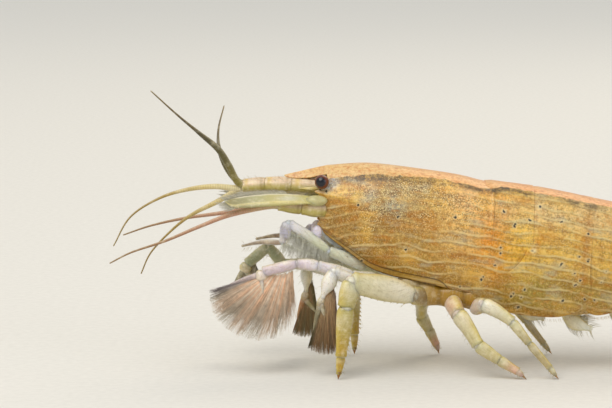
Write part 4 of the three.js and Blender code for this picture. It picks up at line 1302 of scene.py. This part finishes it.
for name, arm in ARMS.items():
    light, tan, grey, warm = (paint(stripe) for stripe in arm["stripes"])
    first_edge, last_edge = (paint(edge) for edge in arm["edges"])
    lines, thick, unwrap = ([], [], []), [], []
    colours = ([], [], [], [])
    places = on_side(arm["side"], arm["joints"])
    climb = (places[-2] - places[-1]).normalized() * (1.9 if len(arm["radii"]) == 3 else 0.0)
    for k in range(FAN_BRISTLES):
        share = clamp((k + fan_chance.uniform(-3, 3)) / FAN_BRISTLES, 0.002, 0.998)
        pleat = math.sin(share * 47 + 1.5 * math.sin(share * 13))
        short = fan_chance.random() ** 2.2 * 3.0 + 0.25 * abs(math.sin(share * 31))
        short += 4.6 * fan_chance.random() ** 1.4 * rise(share, 0.78, 1.0)
        sideways = 0.07 * pleat + fan_chance.gauss(0, 0.09)
        start = fan_chance.uniform(0.04, 0.3)
        raised = climb * fan_chance.uniform(0.2, 1.0) + Vector((0, 0, 0.6 * share))
        lines[0].append(fan_point(arm, share, start, 0.5 * sideways, short) + raised)
        lines[1].append(fan_point(arm, share + 0.012 * pleat, 0.62, sideways + 0.12, short))
        astray = fan_chance.gauss(0, 0.015 + 0.035 * rise(share, 0.8, 1.0))
        lines[2].append(fan_point(arm, share - 0.01 * pleat + astray, 1.0, 1.6 * sideways - 0.18, short))
        at_first, at_last = fall(share, 0.02, 0.11), rise(share, 0.82, 0.97)
        # Painted highlights: the roots are the fan's peach tint lit up pale, and the next value swaps pale
        # and warm bands across the spread, as light on folds. Tan and grey are the bristles' own colour.
        fold_highlight = 0.5 + 0.5 * math.sin(share * 61 + 2 * math.sin(share * 17))
        base = mixed(light, warm, fold_highlight)
        body = washed(tan, (grey, rise(math.sin(share * 23), -0.3, 0.5)), (light, 0.35 * (1 - fold_highlight)))
        for kept, towards_base in zip(colours, (1, 0.75, 0.2, 0)):
            shade = washed(
                body, (base, towards_base), (first_edge, 0.9 * at_first), (last_edge, 0.75 * at_last),
                (grey, fan_chance.uniform(0, 0.3)),
            )
            kept.append(shade)
        thick.append(0.075 * fan_chance.uniform(0.75, 1.2) * (1 + 0.5 * at_first))
        unwrap.append((0.05 + 0.9 * share, 0.05 + 0.9 * start))
    unwrap = np.array(unwrap)
    bristles(f"bristles_{name}", "fan", *lines, thick, colours, f"fan_{name}", places=unwrap, rings=7, seed=3)

# %% [markdown]
# The third pair of mouth legs reaches forward past the mouth like two feathered arms, and the mouth itself
# is a stack of small soft blades. The blades are lobes pressed flat and fanned out, with a beard of short
# hairs between them.

# %% Mouth legs and mouthparts
MOUTH_LEGS = {
    "left": [[-13.4, 2.6, 15.2], [-18.6, 3.3, 17.6], [-24.5, 4.4, 21.8], [-25.4, 4.4, 19.0],
             [-31.3, 4.2, 18.5]],
    "right": [[-13.4, 2.6, 15.2], [-17.2, 3.3, 17.0], [-20.3, 4.2, 19.6], [-23.4, 4.3, 18.7],
              [-29.4, 4.2, 18.4]],
}
MOUTH_LEG_RADII = [[0.75, 0.9, 0.75], [0.7, 0.8, 0.75], [0.85, 0.75, 0.5], [0.42, 0.34, 0.2]]
MOUTH_LEG_TONES = [("dcdccd", "d2d5bf"), ("ccd0b6", "e2dfe4"), ("e6e2ea", "d2c8c8"), ("968678", "7f7468")]
beard = ([], [], [])
beard_chance = random.Random(17)


def hang_beard(a, b, count, length):
    """Notes soft hairs that hang from between a and b."""
    for _ in range(count):
        root = a.lerp(b, beard_chance.random()) + Vector((0, beard_chance.gauss(0, 0.45), -0.2))
        long = length * beard_chance.uniform(0.5, 1.1)
        sweep = Vector((beard_chance.gauss(-0.25, 0.25), beard_chance.gauss(0, 0.2), -1)).normalized()
        beard[0].append(root)
        beard[1].append(root + Vector((0, 0, -0.5)) * long)
        beard[2].append(root + sweep * long)


for side_name, side in SIDES.items():
    mouth_leg = new_form()
    places = on_side(side, MOUTH_LEGS[side_name])
    for i, three in enumerate(MOUTH_LEG_RADII):
        tones = [paint(tone) for tone in MOUTH_LEG_TONES[i]]
        colour = segment_colour(*tones, LILAC_WHITE if i in (1, 2) else paint("b4b29c"), BLUE_WHITE)
        bow = 0.35 if i == 3 else 0.2
        a, b = places[i], places[i + 1]
        add_segment(mouth_leg, a, b, three, colour, flat=0.72, bow=bow, rings=20, sides=18)
        if i:
            add_ball(mouth_leg, a, 0.76 * min(three[0], MOUTH_LEG_RADII[i - 1][2]), BLUE_WHITE)
        grow_hairs(a, b, three[1], 50 if i < 3 else 26, 0.9, below=0.8)
    lean = Matrix.Rotation(0.16, 3, "Y").to_euler()
    upper_lobe = Vector((-20.4, side * 3.2, 20.2))
    for centre, size in ((places[2].lerp(places[3], 0.35), (0.9, 0.6, 1.4)), (upper_lobe, (0.8, 0.6, 1.2))):
        add_ball(mouth_leg, centre, size, LILAC_WHITE, detail=4, turn=lean)
    hang_beard(places[1], places[2] + Vector((0, 0, -0.6)), 420, 2.6)
    hang_beard(places[3] + Vector((0, 0, 0.3)), places[1] + Vector((-1.0, 0, -0.6)), 300, 2.0)
    show(mouth_leg, f"mouth_leg_{side_name}", "mouthparts", LIMB, f"maxilliped_third_{side_name}")

BLADES = 5
mouth = new_form()
lean = Matrix.Rotation(0.66, 3, "Y").to_euler()
add_ball(mouth, (-16.4, 0, 18.9), (2.5, 2.0, 1.7), paint("cbc8b0"), detail=4, turn=lean)
for side in SIDES.values():
    for k in range(BLADES):
        share = k / (BLADES - 1)
        centre = Vector((-18.3 + 3.6 * share, side * (1.55 + 0.35 * math.sin(3 * share)), 19.6 - 2.7 * share))
        turn = Matrix.Rotation(side * (0.25 + 0.1 * k), 3, "Z") @ Matrix.Rotation(0.8 + 0.12 * k, 3, "Y")
        tone = mixed(BLUE_WHITE, paint("c8c69c"), share)
        add_ball(mouth, centre, (1.75 - 0.1 * k, 0.34, 0.85), tone, detail=4, turn=turn.to_euler())
        grow_hairs(centre + Vector((-1.2, 0, -0.8)), centre + Vector((0.8, 0, -1.2)), 0.3, 26, 0.8, below=0.9)
show(mouth, "mouth_blades", "mouthparts", FLESH, "mouthparts")
bristles("mouth_beard", "mouthparts", *beard, 0.055, [paint(tone) for tone in ("dfe0cc", "e8e8dc", "d9d8c2")])

# %% [markdown]
# Each eye is a ball of black core under a clear cornea, on a stalk that comes out from under the front edge.

# %% Eyes
EYE_RADIUS = 1.05
stalk_width = profile([[0, 0.62], [0.5, 0.66], [0.85, 0.92], [1, 0.96]])


def stalk_colour(share, angle):
    ring = 0.35 * hump(share, 0.4, 0.12)
    return washed(paint("b49a66"), (BLUE_WHITE, rise(share, 0.3, 0.8)), (UMBER, ring))


for side_name, side in SIDES.items():
    eye = new_form()
    root, tip, centre = on_side(side, [[-18.3, 1.6, 27.2], [-19.45, 3.15, 27.72], [-19.6, 3.7, 27.8]])
    line = Line([root, root.lerp(tip, 0.5), tip + (tip - root) * 0.05], steps=10)
    add_tube(eye, line, 14, 20, stalk_width, stalk_colour)
    show(eye, f"eye_stalk_{side_name}", "eye", LIMB)
    cornea = new_form()
    gaze = Vector((-0.22, side * 0.96, 0.12)).normalized()
    ball = bmesh.ops.create_icosphere(cornea, subdivisions=5, radius=EYE_RADIUS, calc_uvs=True)
    for vert in ball["verts"]:
        facing = vert.co.normalized().dot(gaze)
        colour = washed(
            paint("5a2c16"), ("74381a", rise(facing, -0.2, 0.5)), ("0c111e", rise(facing, 0.6, 0.86)),
            ("b9bfc0", fall(facing, -0.55, -0.35)),
        )
        vert.co = vert.co * (1 + 0.04 * facing) + centre
        mark(cornea, vert, colour)
    show(cornea, f"cornea_{side_name}", "eye", EYE, f"eye_{side_name}")

# %% [markdown]
# The head's feelers. A three-jointed stem carries two ringed whips, one dark and held up, one pale and
# drooping. Below it lies the scale, a blade with a straight outer edge, a tooth, and a fringe, and under
# that the long second whip. The rings are a third of a millimetre apart and are real swellings, so a whip
# catches the light in small beads. Painted shade darkens the grooves between the beads, a painted highlight
# runs along the top of each whip, and the stems are painted lighter on top and darker underneath.

# %% Stems and whips
STEM = [[-19.2, 1.35, 26.7], [-24.1, 1.35, 27.05], [-28.0, 1.35, 27.1], [-31.2, 1.35, 26.85]]
STEM_RADII = [[0.98, 1.04, 0.98], [0.95, 0.98, 0.9], [0.88, 0.9, 0.82]]
WHIPS = {
    "antennule_outer_whip": {
        "left": [[-31.0, 1.45, 26.9], [-31.9, 1.6, 27.6], [-33.2, 2, 30.1], [-34.6, 2.5, 32.4],
                 [-37.3, 3.1, 34.8], [-40.4, 3.9, 37.5], [-44.3, 5, 41.2]],
        "right": [[-31.0, 1.45, 26.9], [-31.9, 1.6, 27.3], [-33.6, 2.3, 29.4], [-34.7, 3.2, 32.1],
                  [-34.8, 4.4, 34.7], [-34, 6, 38.1]],
        "radii": [0.5, 0.52, 0.42, 0.22, 0.13, 0.09],
        "tones": ["8f8448", "57522c", "453f24", "4c4028", "6b5a3c"],
    },
    "antennule_inner_whip": {
        "left": [[-31.1, 1.2, 26.7], [-32.1, 1, 26.6], [-35.2, 1.5, 26.9], [-38.8, 2.2, 26.6],
                 [-43.1, 3, 25.4], [-47.4, 4, 22.7], [-49.8, 5.2, 18.6]],
        "right": [[-31.1, 1.2, 26.7], [-32.1, 1, 26.1], [-34.6, 1.5, 24.5], [-39, 2.3, 22.1], [-42, 3, 19.6],
                  [-45, 4, 16.2], [-46.4, 4.6, 13.1]],
        "radii": [0.46, 0.4, 0.28, 0.18, 0.13, 0.09],
        "tones": ["ece2bc", "dccb98", "a8925c", "86703e", "7c6a3e"],
    },
    "antenna_whip": {
        "left": [[-25.6, 3.5, 24.2], [-26.8, 3.5, 24.3], [-32.9, 4.4, 23.1], [-37.3, 5.2, 21.5],
                 [-42.3, 6.2, 19.5], [-47.3, 7.2, 17.9], [-50.2, 8, 16.5]],
        "right": [[-25.6, 3.5, 24.2], [-26.8, 3.5, 24], [-33.1, 4.2, 22.5], [-39.8, 5.2, 21.4],
                  [-45.1, 6.2, 20.1], [-49.2, 7, 18.6]],
        "radii": [0.48, 0.4, 0.3, 0.23, 0.16, 0.1],
        "tones": ["c9b68c", "c9a08a", "b08a74", "94755c", "7d6448"],
    },
}
RING = 0.36


def add_whip(form, points, radii, tones):
    """A ringed whip with a small bead at every ring, darker below under a painted highlight along its top,
    and with painted shade in the grooves between the beads.
    """
    line = Line(points, steps=20)
    width = profile([[i / (len(radii) - 1), r] for i, r in enumerate(radii)])
    shades = [paint(tone) for tone in tones]

    def bead_at(share):
        return math.cos(share * line.length * math.tau / RING)

    def colour_at(share, angle):
        at = share * (len(shades) - 1)
        i = min(int(at), len(shades) - 2)
        # Painted highlight: cream where the whip faces up. Painted shade: umber in the grooves between beads.
        return washed(
            shades[i], (shades[i + 1], at - i), (CREAM, 0.3 * rise(math.cos(angle), 0.3, 0.95)),
            (UMBER, 0.22 * (0.5 - 0.5 * bead_at(share))),
        )

    def radius_at(share):
        return width(share) * (1 + 0.035 * bead_at(share))

    add_tube(form, line, int(line.length / RING * 3), 10, radius_at, colour_at, crowd=0.0)


def stem_colour_with_painted_light(share, angle):
    # Painted light: paler where the stem faces up and darker where it faces down, with the yellow band only
    # on top.
    top = rise(math.cos(angle), -0.25, 0.6)
    return washed(
        paint("b8ac6c"), ("dcc7ae", top), ("94824a", 0.6 * fall(math.cos(angle), -0.95, -0.5)),
        ("d3b64a", 0.5 * hump(share, 0.8, 0.08) * top), ("857046", 0.4 * hump(share, 0.2, 0.06)),
        ("a98f4a", 0.5 * hump(share, 0.95, 0.02)),
    )


for side_name, side in SIDES.items():
    stem = new_form()
    places = on_side(side, STEM)
    for i, three in enumerate(STEM_RADII):
        a, b = places[i], places[i + 1]
        add_segment(stem, a, b, three, stem_colour_with_painted_light, flat=0.9, rings=24, sides=24, waist=0.9, flare=1.02)
        grow_hairs(a, b, three[1], 40, 0.7, below=0.2)
    thorn = places[0] + Vector((-0.4, side * 1.0, -0.1))
    add_spine(stem, thorn, (-1, side * 0.12, 0.06), 3.4, 0.42, paint("d8c48c"), sides=14)
    show(stem, f"antennule_stem_{side_name}", "antennule_stem", LIMB, f"antennule_stem_{side_name}")
    for whip_name, whip in WHIPS.items():
        form = new_form()
        add_whip(form, on_side(side, whip[side_name]), whip["radii"], whip["tones"])
        show(form, f"{whip_name}_{side_name}", "whip", FEELER, f"{whip_name}_{side_name}")

# %% [markdown]
# Blades come next: the two antennal scales, the telson and the four tail blades. A blade is a rolled grid
# pressed almost flat, whose two edges follow an outline, with a rib that stands up along it. Its fringe of
# hairs leans to the tip.


# %% Blades
def add_blade(form, length, outer_at, inner_at, thick, rib_at, colour_at, settle, rows=48, round_count=32):
    """A flat blade along x. outer_at and inner_at give its edges, settle puts each point on the animal."""

    def place(u, v):
        share = 0.5 - 0.5 * math.cos(math.pi * u)
        angle = math.tau * v
        across = 0.5 + 0.5 * math.cos(angle)
        y = lerp(inner_at(share), outer_at(share), across)
        shut = math.sin(math.pi * share) ** 0.5 if 0 < share < 1 else 0
        width = abs(outer_at(share) - inner_at(share))
        over = math.sin(angle)
        belly = 0.5 * min(thick, 0.4 * width + 0.02) * shut * math.copysign(abs(over) ** 0.6, over)
        rib = rib_at(share, across) * (1 if over > 0 else -0.5) * shut
        point = settle(Vector((share * length, y, thick / 2 + belly + rib)))
        return point, {"colour": colour_at(share, across), "along": share * length, "lie": across * width * 2}

    add_sheet(form, rows, round_count, place)


def grow_fringe(length, edge_at, inward, settle, first, last, count, reach, sweep=0.8):
    """Hairs along one edge of a blade, from share first to share last, leaning to the tip."""
    chance = random.Random(7)
    made = ([], [], [])
    for k in range(count):
        share = lerp(first, last, (k + chance.uniform(0, 1)) / count)
        edge = edge_at(share)
        before, after = edge_at(share - 0.02), edge_at(min(share + 0.02, 1))
        along = Vector((0.04 * length, after - before, 0)).normalized()
        out = Vector((-along.y, along.x, 0)) * (-inward)
        root = Vector((share * length, edge, 0.3))
        long = reach * chance.uniform(0.8, 1.1)
        way = (out + along * sweep).normalized()
        lift = Vector((0, 0, chance.uniform(-0.1, 0.1)))
        made[0].append(settle(root))
        made[1].append(settle(root + out * long * 0.4 + way * long * 0.2))
        made[2].append(settle(root + way * long + lift))
    return made


def rounded_edge(root, widest, end_half, side):
    """Half of a tail blade's outline: from its root, out to its widest, and round its end."""

    def edge(share):
        if share <= 0.88:
            t = share / 0.88
            return side * ((1 - t) ** 2 * root + 2 * t * (1 - t) * 1.08 * widest + t * t * end_half)
        return side * end_half * math.sqrt(max(1 - ((share - 0.88) / 0.12) ** 2, 0))

    return edge


# %% Antennal scales
SCALE_LENGTH = 13.2
SCALE_SPREAD = math.radians(5)
SCALE_ROLL = math.radians(27)


def scale_outer(share):
    if share < 0.88:
        return lerp(0.9, 1.5, share / 0.88) + 0.12 * hump(share, 0.865, 0.012)
    return 1.5 - 1.9 * ((share - 0.88) / 0.12) ** 2


def scale_inner(share):
    t = clamp(share / 0.93)
    body = -(((1 - t) ** 2) * 0.9 + 2 * t * (1 - t) * 2.7 + t * t * 0.9)
    return body if share < 0.9 else lerp(body, -0.4, ((share - 0.9) / 0.1) ** 1.5)


def scale_rib(share, across):
    return 0.14 * hump(across, 0.8, 0.06) + 0.05 * hump(across, 0.45, 0.05)


def scale_colour(share, across):
    return washed(
        paint("bfb67e"),
        ("adab88", rise(share, 0.35, 0.7)),
        (BLUE_WHITE, 0.45 * hump(share, 0.3, 0.12) * hump(across, 0.5, 0.3)),
        ("7f7a5c", 0.75 * rise(share, 0.62, 0.95)),
        (IVORY, 0.8 * fall(across, 0.06, 0.2) * window(share, 0.05, 0.25, 0.8, 0.95)),
        ("e6d9a4", 0.6 * hump(across, 0.8, 0.07) * rise(share, 0.1, 0.3)),
        ("6a6438", 0.5 * hump(across, 0.98, 0.03)),
    )


for side_name, side in SIDES.items():

    def settle(p, side=side):
        across = p.y * math.cos(SCALE_ROLL) + p.z * math.sin(SCALE_ROLL)
        up = p.z * math.cos(SCALE_ROLL) - p.y * math.sin(SCALE_ROLL)
        forward = p.x * math.cos(SCALE_SPREAD) - across * math.sin(SCALE_SPREAD)
        out = p.x * math.sin(SCALE_SPREAD) + across * math.cos(SCALE_SPREAD)
        return Vector((-20.6 - forward, side * (3.9 + out), 25.0 + up - 0.02 * p.x))

    scale = new_form()
    add_blade(scale, SCALE_LENGTH, scale_outer, scale_inner, 0.5, scale_rib, scale_colour, settle, rows=60)
    outer_end = settle(Vector((0.84 * SCALE_LENGTH, 1.4, 0.3)))
    add_spine(scale, outer_end, (-1, side * 0.02, 0), 1.0, 0.16, paint("d8c79a"), sides=8)
    antenna = on_side(side, [[-19.2, 3.3, 23.6], [-22.6, 3.5, 23.9], [-26, 3.5, 24.2]])
    for a, b, three in zip(antenna, antenna[1:], ([1.0, 1.1, 0.9], [0.85, 0.8, 0.6])):
        add_segment(scale, a, b, three, stem_colour_with_painted_light, flat=0.9, rings=18, sides=18, waist=0.8)
    add_ball(scale, settle(Vector((-0.2, 0.0, 0.1))), (1.6, 1.1, 0.8), paint("bdb78c"), detail=4)
    show(scale, f"antennal_scale_{side_name}", "antennal_scale", FIN, f"antennal_scale_{side_name}",
         f"antenna_stem_{side_name}")
    inner = grow_fringe(SCALE_LENGTH, scale_inner, 1, settle, 0.3, 0.99, 150, 1.5)
    tip = grow_fringe(SCALE_LENGTH, scale_outer, -1, settle, 0.885, 0.99, 46, 1.7)
    fringe = [a + b for a, b in zip(inner, tip)]
    bristles(f"scale_fringe_{side_name}", "antennal_scale", *fringe, 0.07, (paint("b9b49a"), paint("d6d3c6")))

# %% [markdown]
# The tail fan: a narrow telson with small spines, and two pairs of blades spread beside it. The outer blade
# has a line of small spines across it, where its end can fold, and all four are hemmed with hair.

# %% Tail fan
TAIL_SLOPE = math.radians(28)
TAIL_ROOT = Vector(BACK.at(SOMITE_ENDS[6]))


def tail_settler(yaw, droop, offset):
    turned = Matrix.Rotation(math.radians(yaw), 4, "Z") @ Matrix.Rotation(math.radians(droop), 4, "X")
    sloped = Matrix.Translation(TAIL_ROOT) @ Matrix.Rotation(TAIL_SLOPE, 4, "Y")
    whole = sloped @ Matrix.Translation(offset) @ turned
    return lambda p: whole @ p


def fin_colour(tint):
    def colour_at(share, across):
        return washed(
            OCHRE, (tint, rise(share, 0.05, 0.5)), ("8a6a34", 0.5 * hump(across, 0.5, 0.06)),
            (PEACH, 0.5 * hump(across, 0.62, 0.05)), ("b8a784", 0.6 * rise(share, 0.8, 1.0)),
        )

    return colour_at


def one_rib(share, across):
    return 0.16 * hump(across, 0.55, 0.05) * fall(share, 0.7, 1.0)


def telson_rib(share, across):
    return 0.16 * (hump(across, 0.3, 0.09) + hump(across, 0.7, 0.09)) * fall(share, 0.6, 1.0)


def telson_colour(share, across):
    edge = fall(min(across, 1 - across), 0.05, 0.22)
    return washed(PEACH, ("d2a468", rise(share, 0.3, 1.0)), ("8b6a36", 0.6 * edge))


TELSON_LENGTH = 9.4
FOLD_SHARE = 0.72
telson = new_form()
settle = tail_settler(0, 0, Vector((-0.3, 0, -1.1)))
left_edge, right_edge = (rounded_edge(2.1, 2.0, 0.8, side) for side in SIDES.values())
add_blade(telson, TELSON_LENGTH, right_edge, left_edge, 0.9, telson_rib, telson_colour, settle, rows=56)
for k in range(5):
    along = (0.45 + 0.12 * k) * TELSON_LENGTH
    for side in SIDES.values():
        root = settle(Vector((along, side * (1.15 - 0.16 * k), 0.95)))
        ahead = settle(Vector((along + 1, side * (1.2 - 0.16 * k), 1.05))) - root
        add_spine(telson, root, ahead, 0.55, 0.1, paint("a3814a"))
for k in range(7):
    out = (k - 3) * 0.22
    root = settle(Vector((0.985 * TELSON_LENGTH - abs(out) * 0.4, out, 0.45)))
    ahead = settle(Vector((TELSON_LENGTH + 1, out * 1.5, 0.45))) - root
    add_spine(telson, root, ahead, 0.9, 0.09, paint("b08e58"))
show(telson, "telson_blade", "tail_fan", FIN, "telson")

# Of each tail blade: length, half width at the root, the widest and the end, yaw, droop, offset and tint.
TAIL_BLADES = {
    "inner": (9.6, (0.8, 2.4, 1.7), 14, -6, (-0.5, 1.7, -2.4), "c9a060"),
    "outer": (10.4, (0.9, 3.1, 2.3), 32, -9, (-0.7, 2.3, -3.6), "b98f50"),
}
fan_fringe = ([], [], [])
for side_name, side in SIDES.items():
    for kind, (length, halves, yaw, droop, (back, out, up), tint) in TAIL_BLADES.items():
        blade = new_form()
        settle = tail_settler(side * yaw, side * droop, Vector((back, side * out, up)))
        left_edge, right_edge = (rounded_edge(*halves, edge) for edge in SIDES.values())
        colour_at = fin_colour(paint(tint))
        add_blade(blade, length, right_edge, left_edge, 0.5, one_rib, colour_at, settle, 56, round_count=40)
        if kind == "outer":
            for k in range(13):
                across = (-0.8 + 1.6 * k / 12) * halves[1] * 0.86
                root = settle(Vector((FOLD_SHARE * length, across, 0.5)))
                ahead = settle(Vector((FOLD_SHARE * length + 1, across, 0.55))) - root
                add_spine(blade, root, ahead, 0.42, 0.1, paint("8f6e3c"))
        show(blade, f"uropod_{kind}_blade_{side_name}", "tail_fan", FIN, f"uropod_{kind}_{side_name}")
        for edge, inward in ((right_edge, -1), (left_edge, 1)):
            grown = grow_fringe(length, edge, inward, settle, 0.4, 0.995, 120, 1.5)
            for kept, new in zip(fan_fringe, grown):
                kept.extend(new)
bristles("tail_fringe", "tail_fan", *fan_fringe, 0.075, (paint("a98a58"), paint("cdb890")))

# %% [markdown]
# Five pairs of swimming legs hang under the rings, each a flat stem with two feathered leaves. They are
# held half back, one behind the other, as in an animal that stands still.

# %% Swimming legs
PLEOPOD_SIZES = [0.9, 1, 0.95, 0.85, 0.7]
swim_fringe = ([], [], [])
swim_chance = random.Random(23)
stem_tone = segment_colour(paint("cdb98a"), paint("d8cfb0"), paint("9a8450"))
leaf_tone = segment_colour(paint("d6ccac"), paint("cfd0c6"), paint("b5aa80"))
for index, size in enumerate(PLEOPOD_SIZES):
    s = (SOMITE_ENDS[index] + SOMITE_ENDS[index + 1]) / 2
    back = BACK.at(s)
    lean = lean_at(back[0]) * slope_at(s)
    roof = 0.78 * pleon_depth_at(back[0])
    for side_name, side in SIDES.items():

        def hang(drop, behind, out):
            return Vector(
                (
                    back[0] - drop * math.sin(lean) + behind * math.cos(lean),
                    side * out,
                    back[2] - drop * math.cos(lean) - behind * math.sin(lean),
                )
            )

        root, knee = hang(roof - 0.9, -0.2, 2.3 * size), hang(roof + 3.0 * size, 1.2 * size, 2.7 * size)
        swimmer = new_form()
        add_segment(swimmer, root, knee, [0.9 * size, 1.15 * size, 0.8 * size], stem_tone, flat=0.5, rings=14)
        for out, drop, behind, long in ((3.5, 5.3, 6.0, 1.0), (2.2, 4.9, 5.4, 0.9)):
            tip = hang(roof + drop * size, behind * size, out * size)
            leaf_root = knee + Vector((0, side * (out - 2.8) * 0.35, 0))
            radii = [0.5 * size, 1.15 * size * long, 0.45 * size]
            add_segment(swimmer, leaf_root, tip, radii, leaf_tone, flat=0.3, bow=-0.5 * size)
            way = (tip - leaf_root).normalized()
            broad = way.cross(Vector((0, 1, 0))).normalized()
            for _ in range(46):
                share = swim_chance.uniform(0.25, 1.0)
                edge = swim_chance.choice((-1, 1))
                start = leaf_root.lerp(tip, share) + Vector((0, 0, -2.0 * size * share * (1 - share)))
                start += broad * edge * 0.9 * size * math.sin(math.pi * min(share, 0.96)) ** 0.6
                sweep = broad * edge * 0.7 + way * 0.9 + Vector((0, side * swim_chance.uniform(-0.1, 0.1), 0))
                long_hair = 1.5 * size * swim_chance.uniform(0.7, 1.1)
                swim_fringe[0].append(start)
                swim_fringe[1].append(start + (broad * edge * 0.6 + way * 0.4) * long_hair * 0.5)
                swim_fringe[2].append(start + sweep.normalized() * long_hair)
        pair = f"{index + 1}_{side_name}"
        show(swimmer, f"swimming_leg_{pair}", "pleopod", LIMB, f"pleopod_{pair}")
bristles("swimming_leg_fringe", "pleopod", *swim_fringe, 0.07, (paint("c9bf9c"), paint("dcd8c8")))

# %% [markdown]
# Last of the coat: fine hairs on the limbs and mouth, gathered while those were made, and a short hem of
# hair along the lower edge of the side plates.

# %% Fine hairs
HEM_HAIRS = 70
bristles("limb_hairs", "walking_leg", *hairs, 0.05, (paint("b7a878"), paint("d9cfae")), rings=3)
hem = ([], [], [])
hem_chance = random.Random(31)
for index in range(5):
    place = place_plate(index)
    for side in SIDES.values():
        for k in range(HEM_HAIRS):
            share = 0.14 + 0.8 * (k + hem_chance.random()) / HEM_HAIRS
            point = Vector(place(share, 0.5 + side * 0.5 / PLATE_TURN)[0])
            ahead = Vector((0.35, side * 0.15, -0.9)) * hem_chance.uniform(0.35, 0.6)
            hem[0].append(point)
            hem[1].append(point + ahead * 0.6 + Vector((-0.05, 0, 0)))
            hem[2].append(point + ahead)
bristles("pleura_hem", "pleon", *hem, 0.05, (paint("9a7434"), paint("c8ab74")), rings=3)

# %% [markdown]
# A plain pale floor and soft studio light, so that nothing competes with the animal. One wide sun lights
# the floor evenly as far as it can be seen, and large lamps close to the model give the wrap-round light of
# a light tent. The one above and behind lets the thin shell glow at its edges.

# %% Floor and light
FLOOR_HALF_WIDTH = 9000
floor_form = new_form()
bmesh.ops.create_grid(floor_form, x_segments=8, y_segments=8, size=FLOOR_HALF_WIDTH, calc_uvs=True)
bmesh.ops.scale(floor_form, vec=(MM, MM, MM), verts=floor_form.verts)
floor_mesh = bpy.data.meshes.new("studio_floor")
floor_form.to_mesh(floor_mesh)
floor_form.free()
floor = link("studio_floor", floor_mesh)


def floor_material():
    material, tree, in_mm = new_material("matt_paper_floor")
    fibre = add(tree, "TexNoise", {"Vector": in_mm, "Scale": 0.9, "Detail": 3.0})
    colour = lay(tree, paint("dcdad4"), ("e2e0da", 1.0, fibre, 0.3, 0.7))
    return close_material(material, {"Base Color": colour, "Roughness": 0.85})


floor_mesh.materials.append(floor_material())


def add_lamp(name, place, aim, size, power, colour):
    data = bpy.data.lights.new(name, "AREA")
    data.shape = "DISK"
    data.size = size
    data.energy = power
    data.color = paint(colour)
    lamp = link(name, data)
    lamp.location = Vector(place)
    lamp.rotation_euler = (Vector(aim) - Vector(place)).to_track_quat("-Z", "Y").to_euler()


MIDDLE = (-0.005, 0, 0.018)
add_lamp("key_softbox", (-0.28, -0.42, 0.5), MIDDLE, 0.45, 1.25, "fff6e8")
add_lamp("back_softbox", (0.25, 0.45, 0.55), MIDDLE, 0.45, 1.1, "fff2dc")
add_lamp("side_fill", (0.5, -0.4, 0.25), MIDDLE, 0.5, 0.6, "eef3ff")
sky_data = bpy.data.lights.new("wide_sun", "SUN")
sky_data.energy = 1.2
sky_data.angle = math.radians(50)
sky = link("wide_sun", sky_data)
sky.rotation_euler = (math.radians(24), math.radians(-20), 0)
world = bpy.data.worlds.new("studio_surround")
world.use_nodes = True
surround = world.node_tree.nodes["Background"].inputs
surround["Color"].default_value = (*paint("f2f2ef"), 1)
surround["Strength"].default_value = 0.58
bpy.context.scene.world = world
bpy.context.scene.view_settings.view_transform = "Standard"

# %% Update the view layer
bpy.context.view_layer.update()
